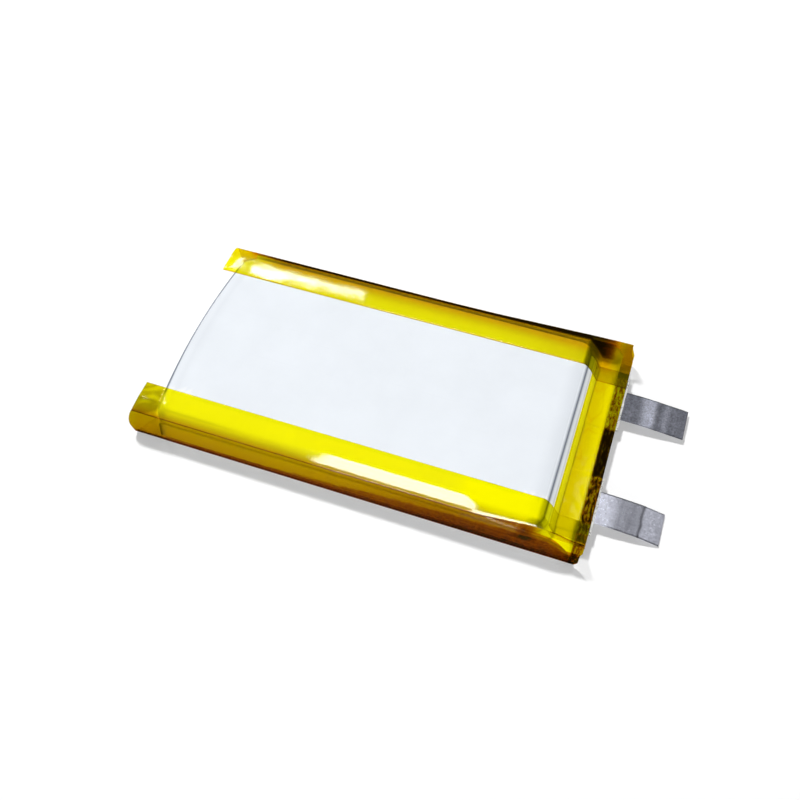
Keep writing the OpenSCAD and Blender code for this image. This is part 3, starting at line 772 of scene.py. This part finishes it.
def terrace_tape(plan, upper):
    """A terrace tape as a sheet laid over the films and stuck to its twin past the cut edge."""
    low, high = plan.terrace_tape
    sign = 1 if upper else -1
    on_pad = plan.face + plan.pad_h
    rows = []
    if upper:
        for i in range(7):
            z = mix(TERRACE_EDGE_Z, plan.seal_z + on_pad, i / 7)
            rows.append((plan.cup_x - plan.run_at(z), z - plan.seal_z, z - plan.seal_z))
        rows.append((plan.cup_x - plan.slope * on_pad / plan.deep, on_pad, on_pad))
    knots = [(plan.cup_x + 0.05, plan.face), (plan.pouch_x + 0.05, plan.face),
             (plan.pouch_x + 0.5, LAYER_GAP / 2), (plan.tape_x, LAYER_GAP / 2)]
    for (xa, a), (xb, b), n in zip(knots, knots[1:], TERRACE_STEPS):
        for i in range(n):
            h = mix(a, b, i / n)
            rows.append((mix(xa, xb, i / n), h, h + plan.pad_h))
    x, h = knots[-1]
    rows.append((x, h, h + plan.pad_h))
    bm, (depth, gloss, loose, dim, flake) = grid_sheet(len(rows) - 1, TERRACE_COLUMNS, TAPE_LOOKS)
    for v in bm.verts:
        x, flat, pad = rows[round((v.co.x + 0.5) * (len(rows) - 1))]
        y = mix(low.y, high.y, v.co.y + 0.5)
        p, past = plan.pad(y), plan.past_edge(x)
        h = mix(flat, pad, p) + TAPE_TOP
        h += past * (1 - p) * PINCH * max(0.0, wave((x, y, 0), 0.45, 11) + 0.1)
        h += TERRACE_RIPPLE * (wave((x, y, 0), 0.9, 12) + 1)
        v.co = (x, y, plan.seal_z + sign * h)
        # Deeper over the terrace; painted shade at the foot of the slope and past the cut edge, where shade
        # falls; the marks are pressed marks.
        under_lap = ease(plan.lap_y - 0.05, plan.lap_y + 0.05, -y)
        foot = bell(x, plan.cup_x + 0.3, 1.0)
        level = ease(plan.cup_x - 0.6, plan.cup_x, x) * (1 - 0.7 * under_lap)
        level *= 1 - 0.6 * ease(plan.cup_x + 1.0, plan.pouch_x, x)
        mark = 1 - ease(0.0, 0.05, abs(wave((x * 0.6, y * 0.35, 0), 1.4, 61)))
        bare = past * (1 - 0.6 * under_lap)
        v[depth] = 0.06 + 0.11 * level + 0.05 * foot + 0.1 * mark * level
        v[depth] += bare * mix(0.85, 0.12 if y > 0 else 0.5, p)
        v[flake] = past
        v[gloss] = 0.12 * (1 - past)
        v[dim] = 0.3 * bare * (1 - p) + 0.06 * level + 0.03 * foot
        v[loose] = 0.6 * past
    face_out(bm, sign * UP)
    return bm


# Bends of each tab's free length: angle in degrees, radius, straight length after it.
TAB_BENDS = {"positive": ((6.0, 30.0, 2.2), (8.0, 0.6, 3.2)), "negative": ((6.5, 40.0, 4.2),)}
TAB_COLUMNS = 24
HINGE_GAP = 0.06  # from the hinge line to the free length of a tab
HINGE_REACH = 0.5  # sealed length before the hinge that has close rows
DENTS = ((0.022, 1.6, 21), (0.012, 0.7, 22))  # of the free foil: height, length, seed


def tab_path(plan, side):
    """Middle line of a tab from its weld inside the winding to its free end, and its hinge."""
    root_low, root_high = box_mm(side + "_tab_root")
    weld_z = root_high.z - plan.tab / 2
    bend_start, bend_end = box_mm("cathode_weld_tape")[1].x + 0.3, plan.cup_x - 0.5
    hinge = box_mm(side + "_tab")[0].x - HINGE_GAP
    path = [Vector((mix(root_low.x, bend_start, i / 4), weld_z)) for i in range(4)]
    for i in range(17):
        fall = (1 - cos(pi * i / 16)) / 2
        path.append(Vector((mix(bend_start, bend_end, i / 16), mix(weld_z, plan.seal_z, fall))))
    path += [Vector((mix(bend_end, hinge - HINGE_REACH, i / 10), plan.seal_z)) for i in range(1, 11)]
    path += [Vector((hinge - HINGE_REACH + 0.07 * i, plan.seal_z)) for i in range(1, 8)]
    path.append(Vector((hinge + HINGE_GAP, plan.seal_z)))
    heading = 0.0
    for degrees, radius, straight in TAB_BENDS[side]:
        turn = radians(degrees)
        centre = path[-1] - radius * Vector((sin(heading), cos(heading)))
        n = 44 if radius > 5 else 8
        for k in range(1, n + 1):
            a = heading + turn * k / n
            path.append(centre + radius * Vector((sin(a), cos(a))))
        heading += turn
        at, n = path[-1], round(straight / 0.09)
        ahead = straight * Vector((cos(heading), -sin(heading)))
        path += [at + ahead * k / n for k in range(1, n + 1)]
    return path, hinge


def painted_tab_sheen(side, u, y):
    """Painted sheen of a tab's rolled face along its free length, from its root to its end: bands of painted
    reflection and shade.
    """
    band = 0.1 * wave((u * 30, y * 0.25, 0), 1.0, 52)
    u += 0.03 * wave((u * 9, y, 0), 1.5, 51)
    # Painted reflection: bright bands near the root and towards the end, and painted shade at the sharp bend.
    if side == "positive":
        tone = 0.54 + band + 0.44 * ease(0.31, 0.13, u) + 0.4 * ease(0.66, 0.7, u)
        return tone * (1 - 0.5 * bell(u, 0.66, 0.022))
    # Painted reflection: a bright band across the middle and a fainter one nearer the end.
    gleam = ease(0.2, 0.34, u) * ease(0.53, 0.42, u) + 0.45 * bell(u, 0.66, 0.05)
    return 0.42 + 0.6 * band + 0.62 * gleam


def foil_tab(plan, side):
    """A tab as one strip of foil, wavy where it is free, with its thickness."""
    path, hinge = tab_path(plan, side)
    low, high = box_mm(side + "_tab")
    bm, (sheen,) = grid_sheet(len(path) - 1, TAB_COLUMNS, ["sheen"])
    for v in bm.verts:
        p = path[round((v.co.x + 0.5) * (len(path) - 1))]
        y = mix(low.y, high.y, v.co.y + 0.5)
        free = ease(hinge + 0.1, hinge + 2.0, p.x)
        dent = sum(height * wave((p.x, y, 0), length, seed) for height, length, seed in DENTS)
        v.co = (p.x, y, p.y + free * dent)
        v[sheen] = painted_tab_sheen(side, (p.x - hinge) / (path[-1].x - hinge), y)
    face_out(bm, UP)
    for v in bm.verts:
        v.co += v.normal * plan.tab / 2
    bmesh.ops.solidify(bm, geom=bm.faces, thickness=plan.tab)
    bm.normal_update()
    return bm, hinge


FILM_ROWS, FILM_COLUMNS = 44, 60


def sealing_film(side, half):
    """One layer of sealing film with the uneven edges of pressed film."""
    upper = HALVES[half]
    low, high = box_mm(f"{side}_film_{half}")
    bm, _ = grid_sheet(FILM_ROWS, FILM_COLUMNS)
    for v in bm.verts:
        u, w = v.co.x + 0.5, v.co.y + 0.5
        y = mix(low.y, high.y, w)
        x = mix(low.x, high.x + 0.05 * wave((0, y, 0), 0.7, 31 + upper) - 0.05, u)
        edge = 0.06 * wave((x, 0, 0), 1.2, 33) * (abs(w - 0.5) * 2) ** 4
        ruffle = 0.01 * ease(high.x - 0.3, high.x, x) * wave((x, y, 0), 0.4, 34)
        v.co = (x, y + edge, high.z + ruffle if upper else low.z - ruffle)
    face_out(bm, UP if upper else -UP)
    bmesh.ops.solidify(bm, geom=bm.faces, thickness=high.z - low.z - 0.005)
    bm.normal_update()
    return bm


# Materials. Most helpers give the socket of the node that they add.

WHITE = (1.0, 1.0, 1.0, 1.0)


def add_node(tree, kind, options=None, **inputs):
    """Adds a shader node; inputs are values or sockets, named with _ for a blank or numbered as i0, i1."""
    node = tree.nodes.new("ShaderNode" + kind)
    for name, value in (options or {}).items():
        setattr(node, name, value)
    for name, value in inputs.items():
        socket = node.inputs[int(name[1:]) if name[1:].isdigit() else name.replace("_", " ")]
        if isinstance(value, bpy.types.NodeSocket):
            tree.links.new(value, socket)
        else:
            socket.default_value = value
    return node


def maths(tree, operation, a, b, clamp=False):
    return add_node(tree, "Math", {"operation": operation, "use_clamp": clamp}, i0=a, i1=b).outputs[0]


def multiply(tree, a, b):
    return maths(tree, "MULTIPLY", a, b)


def remap(tree, value, low, high, to_low=0.0, to_high=1.0):
    """A value taken from one range to another."""
    ranges = {"From_Min": low, "From_Max": high, "To_Min": to_low, "To_Max": to_high}
    return add_node(tree, "MapRange", Value=value, **ranges).outputs["Result"]


def spread(tree, value, low, high):
    """A value from 0 to 1 spread between two levels."""
    return remap(tree, value, 0.0, 1.0, low, high)


def blend(tree, factor, a, b, kind="MIX"):
    return add_node(tree, "Mix", {"data_type": "RGBA", "blend_type": kind}, i0=factor, i6=a, i7=b).outputs[2]


def rgba(colour, share=1.0):
    """A colour at a share of its brightness."""
    return (*[c * share for c in colour], 1.0)


def object_place(tree):
    return add_node(tree, "TexCoord").outputs["Object"]


def attribute(tree, name):
    return add_node(tree, "Attribute", {"attribute_name": name}).outputs["Fac"]


def bump(tree, height, distance, strength):
    return add_node(tree, "Bump", Height=height, Distance=distance, Strength=strength).outputs["Normal"]


def stretched_noise(tree, scale, detail, rough=0.5):
    """A noise with its own scale along each axis."""
    place = add_node(tree, "VectorMath", {"operation": "MULTIPLY"}, i0=object_place(tree), i1=scale)
    noisy = add_node(tree, "TexNoise", Vector=place.outputs[0], Scale=1.0, Detail=detail, Roughness=rough)
    return noisy.outputs["Fac"]


def grains(tree, scale, detail, low, high):
    """A noise with the range between two levels taken to 0 and 1."""
    noisy = add_node(tree, "TexNoise", Vector=object_place(tree), Scale=scale, Detail=detail, Roughness=0.6)
    return remap(tree, noisy.outputs["Fac"], low, high)


def streak_effect(tree, given):
    """Fine lines along the length of the cell, as rolling and slitting leave them."""
    scale = add_node(tree, "CombineXYZ", X=given["Along"], Y=given["Across"], Z=given["Across"])
    return stretched_noise(tree, scale.outputs[0], 3.0, 0.6)


def mottle_effect(tree, given):
    """Soft patches of handling and pressing marks."""
    return grains(tree, given["Scale"], given["Detail"], given["Low"], given["High"])


def speck_effect(tree, given):
    """Small separate specks: dust, pores and trapped air."""
    cells = add_node(tree, "TexVoronoi", Vector=object_place(tree), Scale=given["Scale"], Randomness=1.0)
    return maths(tree, "LESS_THAN", cells.outputs["Distance"], given["Size"])


# Shared effects: name of the group, name of its output, function that fills it.
STREAKS = ("lengthwise_streaks", "Streak", streak_effect)
MOTTLE = ("mottled_patches", "Patch", mottle_effect)
SPECKS = ("fine_specks", "Speck", speck_effect)


def use_group(tree, effect, **values):
    """A shared shader node group, which is made when it is first used."""
    name, label, fill = effect
    group = bpy.data.node_groups.get(name)
    if group is None:
        group = bpy.data.node_groups.new(name, "ShaderNodeTree")
        for key in values:
            group.interface.new_socket(key, in_out="INPUT", socket_type="NodeSocketFloat")
        group.interface.new_socket(label, in_out="OUTPUT", socket_type="NodeSocketFloat")
        result = fill(group, group.nodes.new("NodeGroupInput").outputs)
        group.links.new(result, group.nodes.new("NodeGroupOutput").inputs[label])
    return add_node(tree, "Group", {"node_tree": group}, **values).outputs[0]


def new_material(name):
    """A material with an empty tree: (material, tree)."""
    material = bpy.data.materials.new(name)
    material.use_nodes = True
    material.node_tree.nodes.clear()
    return material, material.node_tree


def show(tree, shader):
    """Puts a shader on the surface."""
    tree.links.new(shader.outputs[0], add_node(tree, "OutputMaterial").inputs["Surface"])


def principled(tree, **inputs):
    return add_node(tree, "BsdfPrincipled", **inputs)


def laminate_material(colours):
    """Pale satin foil laminate with a fine pressed grain and faint scuffs, and painted light and shade in its
    colour.
    """
    material, tree = new_material("satin_laminate")
    patch = use_group(tree, MOTTLE, Scale=130.0, Detail=5.0, Low=0.3, High=0.7)
    grain = use_group(tree, MOTTLE, Scale=5200.0, Detail=2.0, Low=0.25, High=0.75)
    streak = use_group(tree, STREAKS, Along=45.0, Across=2600.0)
    tone = blend(tree, patch, rgba(colours.laminate, 0.955), rgba(colours.laminate))
    scuff = remap(tree, streak, 0.62, 0.75, 0.0, 0.35)
    tone = blend(tree, scuff, tone, rgba(colours.laminate, 0.93))
    # Painted light under the side tapes and on the slope and terrace.
    tone = blend(tree, attribute(tree, "wet"), tone, rgba(colours.wet))
    # Painted shade at the steep folded end and the creases.
    tone = blend(tree, attribute(tree, "tone"), tone, rgba(colours.crease_shade))
    height = maths(tree, "ADD", grain, multiply(tree, streak, 0.8))
    show(tree, principled(
        tree, Base_Color=tone, Metallic=0.05, Roughness=spread(tree, grain, 0.4, 0.52),
        Specular_IOR_Level=0.2, Normal=bump(tree, height, 6e-6, 0.35),
    ))
    return material


def cut_edge_material():
    """Dull cut edge of the laminate, where its foil core shows."""
    material, tree = new_material("laminate_cut_edge")
    streak = use_group(tree, STREAKS, Along=900.0, Across=12000.0)
    tone = blend(tree, streak, (0.4, 0.39, 0.37, 1.0), (0.72, 0.72, 0.72, 1.0))
    show(tree, principled(tree, Base_Color=tone, Metallic=0.5, Roughness=spread(tree, streak, 0.35, 0.6)))
    return material


def amber_material(colours):
    """Clear glossy amber tape that tints what is seen through it, with streaks and trapped air, and painted
    shade in its tint.
    """
    material, tree = new_material("amber_tape_film")
    depth, gloss, loose, dim, flake = (attribute(tree, name) for name in TAPE_LOOKS)

    def uneven(value, middle, share):
        return multiply(tree, maths(tree, "SUBTRACT", value, middle), share)

    lines = stretched_noise(tree, (90.0, 5200.0, 5200.0), 3.0)
    streak = uneven(lines, 0.5, multiply(tree, depth, 0.28))
    mottle = uneven(grains(tree, 2600.0, 3.0, 0.3, 0.7), 0.5, multiply(tree, depth, 0.14))
    flow = stretched_noise(tree, (3200.0, 1100.0, 1100.0), 4.0)
    blob = uneven(remap(tree, flow, 0.38, 0.64), 0.6, flake)
    deep = maths(tree, "ADD", maths(tree, "ADD", depth, streak), mottle)
    deep = maths(tree, "ADD", deep, multiply(tree, blob, -0.8), clamp=True)
    # The deeper stops of this ramp carry the painted shade of the tapes.
    ramp = add_node(tree, "ValToRGB", Fac=deep)
    stops = ramp.color_ramp.elements
    stops[0].color, stops[1].color = rgba(colours.amber), rgba(colours.deepest_shade)
    for place, name in ((0.2, "honey"), (0.45, "gold"), (0.75, "brown"), (0.9, "umber")):
        stops.new(place).color = rgba(getattr(colours, name))
    # Painted shade: the tint is darkened evenly by the painted shade mask.
    tint = blend(tree, 1.0, ramp.outputs["Color"], maths(tree, "SUBTRACT", 1.0, dim), "MULTIPLY")
    # Light that falls through the tape stays neutral, so that its shadow is grey.
    path = add_node(tree, "LightPath").outputs
    arriving = maths(tree, "MAXIMUM", path["Is Shadow Ray"], path["Is Diffuse Ray"])
    tint = blend(tree, arriving, tint, spread(tree, loose, 1.0, 0.3))
    clear = add_node(tree, "BsdfTransparent", Color=tint).outputs[0]
    haze = principled(
        tree, Base_Color=blend(tree, deep, (0.95, 0.85, 0.0, 1.0), (0.1, 0.045, 0.0, 1.0)),
        Roughness=spread(tree, lines, 0.4, 0.5), Specular_IOR_Level=0.0,
    ).outputs[0]
    body = add_node(tree, "MixShader", i0=0.06, i1=clear, i2=haze).outputs[0]
    front = maths(tree, "SUBTRACT", 1.0, add_node(tree, "NewGeometry").outputs["Backfacing"])
    shine = multiply(tree, add_node(tree, "Fresnel", IOR=1.6).outputs[0], front)
    blotch = use_group(tree, MOTTLE, Scale=1500.0, Detail=3.0, Low=0.36, High=0.62)
    gleam = principled(tree, Base_Color=WHITE, Metallic=1.0, Roughness=spread(tree, blotch, 0.03, 0.05),
                       Normal=bump(tree, blotch, 2e-6, 0.15)).outputs[0]
    show(tree, add_node(tree, "MixShader", i0=multiply(tree, shine, gloss), i1=body, i2=gleam))
    return material


def tab_material(name, colour, dull, rough, grainy):
    """Rolled metal foil with fine rolling lines, mottling and handling marks, and a painted sheen along it.
    """
    material, tree = new_material(name)
    streak = use_group(tree, STREAKS, Along=350.0, Across=9000.0)
    patch = use_group(tree, MOTTLE, Scale=900.0, Detail=5.0, Low=0.3, High=0.7)
    grain = use_group(tree, MOTTLE, Scale=3800.0, Detail=3.0, Low=0.32, High=0.68)
    tone = blend(tree, patch, rgba(colour, dull), rgba(colour))
    tone = blend(tree, multiply(tree, grain, grainy), tone, rgba(colour, dull * 0.55))
    # Painted sheen: bands of painted reflection and shade along the tab.
    tone = blend(tree, 1.0, tone, attribute(tree, "sheen"), "MULTIPLY")
    height = maths(tree, "ADD", multiply(tree, streak, 0.6), grain)
    show(tree, principled(
        tree, Base_Color=tone, Metallic=1.0, Roughness=spread(tree, grain, rough, rough + 0.12),
        Normal=bump(tree, height, 6e-6, 0.08),
    ))
    return material


def film_material(colours):
    """Milky sealing film with small dark specks."""
    material, tree = new_material("milky_sealing_film")
    patch = use_group(tree, MOTTLE, Scale=1500.0, Detail=4.0, Low=0.3, High=0.7)
    speck = use_group(tree, SPECKS, Scale=3600.0, Size=0.3)
    tone = blend(tree, patch, rgba(colours.film, 0.8), rgba(colours.film))
    tone = blend(tree, multiply(tree, speck, 0.75), tone, (0.06, 0.055, 0.05, 1.0))
    show(tree, principled(tree, Base_Color=tone, Roughness=spread(tree, patch, 0.35, 0.5),
                          Normal=bump(tree, patch, 1e-5, 0.4), Alpha=spread(tree, patch, 0.65, 0.9)))
    return material


def coating_material(name, light, dark, scale, rough):
    """Matte coated or extruded sheet with a fine grain and soft patches."""
    material, tree = new_material(name)
    grain = use_group(tree, MOTTLE, Scale=scale, Detail=4.0, Low=0.3, High=0.7)
    streak = use_group(tree, STREAKS, Along=120.0, Across=3000.0)
    tone = blend(tree, grain, rgba(dark), rgba(light))
    tone = blend(tree, multiply(tree, streak, 0.3), tone, rgba(dark))
    show(tree, principled(tree, Base_Color=tone, Roughness=spread(tree, grain, rough, rough + 0.15),
                          Normal=bump(tree, grain, 5e-6, 0.3)))
    return material


# Operators


class POUCHCELL_OT_laminate(bpy.types.Operator):
    """Draws the upper and lower laminate of the pouch with its folded side seals"""

    bl_idname = "pouch_cell.laminate"
    bl_label = "Laminate Pouch"

    def execute(self, context):
        plan = CellPlan(context.scene.pouch_cell_sizes)
        materials = [laminate_material(context.scene.pouch_cell_colours), cut_edge_material()]
        for half, upper in HALVES.items():
            build_object(f"{half}_laminate", laminate_sheet(plan, upper), [f"pouch_{half}_shell"],
                         materials, wall=plan.laminate)
        return {"FINISHED"}


class POUCHCELL_OT_side_tapes(bpy.types.Operator):
    """Wraps an amber tape round each long side"""

    bl_idname = "pouch_cell.side_tapes"
    bl_label = "Side Tapes"

    def execute(self, context):
        plan = CellPlan(context.scene.pouch_cell_sizes)
        material = amber_material(context.scene.pouch_cell_colours)
        for side in SIDES:
            build_object(f"{side}_side_wrap", side_tape(plan, side), [f"{side}_side_tape"],
                         [material], wall=plan.tape)
        return {"FINISHED"}


class POUCHCELL_OT_terrace_tapes(bpy.types.Operator):
    """Lays an amber tape over each face of the terrace"""

    bl_idname = "pouch_cell.terrace_tapes"
    bl_label = "Terrace Tapes"

    def execute(self, context):
        plan = CellPlan(context.scene.pouch_cell_sizes)
        colours = context.scene.pouch_cell_colours
        material = bpy.data.materials.get("amber_tape_film") or amber_material(colours)
        for half, upper in HALVES.items():
            build_object(f"terrace_wrap_{half}", terrace_tape(plan, upper),
                         [f"terrace_tape_{half}"], [material], wall=plan.tape)
        return {"FINISHED"}


class POUCHCELL_OT_tabs(bpy.types.Operator):
    """Makes each tab as one bent strip of foil that folds at the end of its sealing film"""

    bl_idname = "pouch_cell.tabs"
    bl_label = "Foil Tabs"

    def execute(self, context):
        plan = CellPlan(context.scene.pouch_cell_sizes)
        colours = context.scene.pouch_cell_colours
        finishes = {
            "positive": tab_material("aluminium_foil", colours.aluminium, 0.85, 0.26, 0.45),
            "negative": tab_material("nickel_foil", colours.nickel, 0.72, 0.3, 0.75),
        }
        for side, material in finishes.items():
            bm, hinge = foil_tab(plan, side)
            obj = build_object(f"{side}_foil_tab", bm, [f"{side}_tab", f"{side}_tab_root"],
                               [material], body=None)
            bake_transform(obj)
        return {"FINISHED"}


class POUCHCELL_OT_sealing_films(bpy.types.Operator):
    """Lays the milky sealing films on both faces of each tab"""

    bl_idname = "pouch_cell.sealing_films"
    bl_label = "Sealing Films"

    def execute(self, context):
        material = film_material(context.scene.pouch_cell_colours)
        for side in SIDES:
            for half in HALVES:
                build_object(f"{side}_sealing_film_{half}", sealing_film(side, half),
                             [f"{side}_film_{half}"], [material])
        return {"FINISHED"}


# Finishes of the CAD's inner nodes: name, light and dark colour, scale of the grain, roughness.
WINDING_FINISHES = {
    ("green_inner_tape", (0.18, 0.52, 0.32), (0.12, 0.4, 0.24), 900.0, 0.25):
        ("cathode_weld_tape", "anode_weld_tape", "roll_closing_tape", "roll_bottom_tape"),
    ("milky_separator", (0.92, 0.92, 0.91), (0.84, 0.84, 0.83), 2500.0, 0.4):
        ("inner_separator", "outer_separator"),
    ("cathode_coating", (0.1, 0.1, 0.11), (0.05, 0.05, 0.055), 6000.0, 0.55): ("cathode_strip",),
    ("anode_coating", (0.18, 0.17, 0.17), (0.1, 0.095, 0.095), 5000.0, 0.6): ("anode_strip",),
}


class POUCHCELL_OT_winding(bpy.types.Operator):
    """Gives the wound electrodes, separators and inner tapes their finishes"""

    bl_idname = "pouch_cell.winding"
    bl_label = "Winding"

    def execute(self, context):
        for finish, nodes in WINDING_FINISHES.items():
            material = coating_material(*finish)
            for node in nodes:
                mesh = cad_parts[node].data
                mesh.materials.clear()
                mesh.materials.append(material)
        return {"FINISHED"}


# Lamps in metres: name, place, size, radiance. The softboxes light the cell and aren't seen in its gloss.
SOFTBOXES = (
    ("key_softbox", (-0.38, 0.36, 0.74), (0.1, 0.1), 272.0),
    ("front_fill", (0.2, -0.85, 0.3), (0.5, 0.4), 2.6),
    ("right_fill", (0.9, 0.1, 0.14), (0.5, 0.25), 9.0),
)
# The cards look straight down and are seen only in its gloss.
CARDS = (
    ("shoulder_strip", (-0.116, 0.155, 0.65), (0.145, 0.14), 13.5),
    ("crest_strip", (-0.008, 0.068, 0.65), (0.074, 0.034), 13.5),
    ("rim_strip", (-0.01, -0.65, 0.65), (0.07, 0.6), 14.0),
    ("far_strip", (-0.272, 0.395, 0.5), (0.03, 0.0105), 22.0),
    ("far_strip_middle", (-0.241, 0.3967, 0.5), (0.032, 0.007), 22.0),
    ("far_strip_end", (-0.204, 0.3977, 0.5), (0.042, 0.0045), 22.0),
    ("far_strip_tip", (-0.306, 0.402, 0.5), (0.014, 0.012), 16.0),
    ("end_glint", (-0.312, 0.233, 0.5), (0.012, 0.012), 30.0),
    ("root_card", (0.07, 0.39, 0.72), (0.07, 0.1), 5.0),
    ("tab_card", (0.38, 0.45, 0.72), (0.55, 0.4), 1.0),
)
CAMERA_ANGLES = (20.699, 56.265, -1.761)  # azimuth, elevation and roll in degrees
CAMERA_TARGET = (-3.024, 0.219, 0.0)
CAMERA_DISTANCE = 137.412
CAMERA_LENS, CAMERA_SENSOR = 41.426, 36.0
FLOOR_HALF, FLOOR_DROP = 2.0, 2e-5  # in metres
FLOOR_GLOW = 0.33  # share of plain white in the floor as the eye sees it


def area_lamp(name, place, size, radiance):
    """A rectangular lamp with the radiance of its face, looking straight down."""
    data = bpy.data.lights.new(name, "AREA")
    data.shape = "RECTANGLE"
    data.size, data.size_y = size
    data.energy = radiance * pi * size[0] * size[1]
    lamp = bpy.data.objects.new(name, data)
    lamp.location = place
    lamp.rotation_mode = "QUATERNION"
    bpy.context.scene.collection.objects.link(lamp)
    return lamp


class POUCHCELL_OT_stage(bpy.types.Operator):
    """Sets up the pale floor, the soft studio light and the camera"""

    bl_idname = "pouch_cell.stage"
    bl_label = "Stage"

    def execute(self, context):
        scene = context.scene
        scene.view_settings.view_transform = "Standard"
        self.make_floor(scene)
        self.make_light(scene)
        self.make_camera(scene)
        return {"FINISHED"}

    def make_floor(self, scene):
        bm = bmesh.new()
        bmesh.ops.create_grid(bm, x_segments=1, y_segments=1, size=FLOOR_HALF)
        mesh = bpy.data.meshes.new("floor")
        bm.to_mesh(mesh)
        bm.free()
        material, tree = new_material("pale_floor")
        matte = add_node(tree, "BsdfDiffuse", Color=rgba(scene.pouch_cell_colours.floor)).outputs[0]
        white = add_node(tree, "Emission", Color=WHITE, Strength=1.0).outputs[0]
        path = add_node(tree, "LightPath").outputs
        seen = maths(tree, "MAXIMUM", path["Is Camera Ray"], path["Is Glossy Ray"])
        seen = maths(tree, "MAXIMUM", seen, path["Is Transmission Ray"])
        show(tree, add_node(tree, "MixShader", i0=multiply(tree, seen, FLOOR_GLOW), i1=matte, i2=white))
        mesh.materials.append(material)
        floor = bpy.data.objects.new("floor", mesh)
        floor.location.z = -FLOOR_DROP
        scene.collection.objects.link(floor)

    def make_light(self, scene):
        world = bpy.data.worlds.new("studio")
        world.use_nodes = True
        tree = world.node_tree
        back = tree.nodes["Background"].inputs
        way = add_node(tree, "TexCoord").outputs["Generated"]
        height = add_node(tree, "SeparateXYZ", Vector=way).outputs["Z"]
        back["Color"].default_value = WHITE
        tree.links.new(remap(tree, height, 0.0, 0.75, 0.5, 0.06), back["Strength"])
        scene.world = world
        for lamp in SOFTBOXES:
            softbox = area_lamp(*lamp)
            softbox.rotation_quaternion = softbox.location.to_track_quat("Z", "Y")
            softbox.visible_glossy = False
        for lamp in CARDS:
            area_lamp(*lamp).visible_diffuse = False

    def make_camera(self, scene):
        azimuth, elevation, roll = (radians(a) for a in CAMERA_ANGLES)
        back = Vector((sin(azimuth) * cos(elevation), -cos(azimuth) * cos(elevation),
                       sin(elevation)))
        right = UP.cross(back).normalized()
        up = back.cross(right)
        turned = cos(roll) * right + sin(roll) * up, cos(roll) * up - sin(roll) * right
        data = bpy.data.cameras.new("camera")
        data.sensor_width, data.lens = CAMERA_SENSOR, CAMERA_LENS
        data.clip_start, data.clip_end = 0.005, 10.0
        camera = bpy.data.objects.new("camera", data)
        place = Matrix((*turned, back)).transposed().to_4x4()
        place.translation = Vector(CAMERA_TARGET) * MM + back * CAMERA_DISTANCE * MM
        camera.matrix_world = place
        scene.collection.objects.link(camera)
        scene.camera = camera


class POUCHCELL_PT_panel(bpy.types.Panel):
    """Lists the pieces of the pouch cell"""

    bl_idname = "POUCHCELL_PT_panel"
    bl_label = "Pouch Cell"
    bl_space_type = "VIEW_3D"
    bl_region_type = "UI"
    bl_category = "Pouch Cell"

    def draw(self, context):
        for group in (context.scene.pouch_cell_sizes, context.scene.pouch_cell_colours):
            box = self.layout.box()
            for name in group.__annotations__:
                box.prop(group, name)
        for operator in OPERATORS:
            self.layout.operator(operator.bl_idname)


OPERATORS = (
    POUCHCELL_OT_stage,
    POUCHCELL_OT_laminate,
    POUCHCELL_OT_side_tapes,
    POUCHCELL_OT_terrace_tapes,
    POUCHCELL_OT_tabs,
    POUCHCELL_OT_sealing_films,
    POUCHCELL_OT_winding,
)
CLASSES = (PouchCellSizes, PouchCellColours, *OPERATORS, POUCHCELL_PT_panel)


def register():
    for cls in CLASSES:
        bpy.utils.register_class(cls)
    bpy.types.Scene.pouch_cell_sizes = PointerProperty(type=PouchCellSizes)
    bpy.types.Scene.pouch_cell_colours = PointerProperty(type=PouchCellColours)


def unregister():
    del bpy.types.Scene.pouch_cell_colours
    del bpy.types.Scene.pouch_cell_sizes
    for cls in reversed(CLASSES):
        bpy.utils.unregister_class(cls)


def main():
    register()
    bpy.ops.pouch_cell.stage()
    bpy.ops.pouch_cell.laminate()
    bpy.ops.pouch_cell.side_tapes()
    bpy.ops.pouch_cell.terrace_tapes()
    bpy.ops.pouch_cell.tabs()
    bpy.ops.pouch_cell.sealing_films()
    bpy.ops.pouch_cell.winding()


if __name__ == "__main__":
    main()
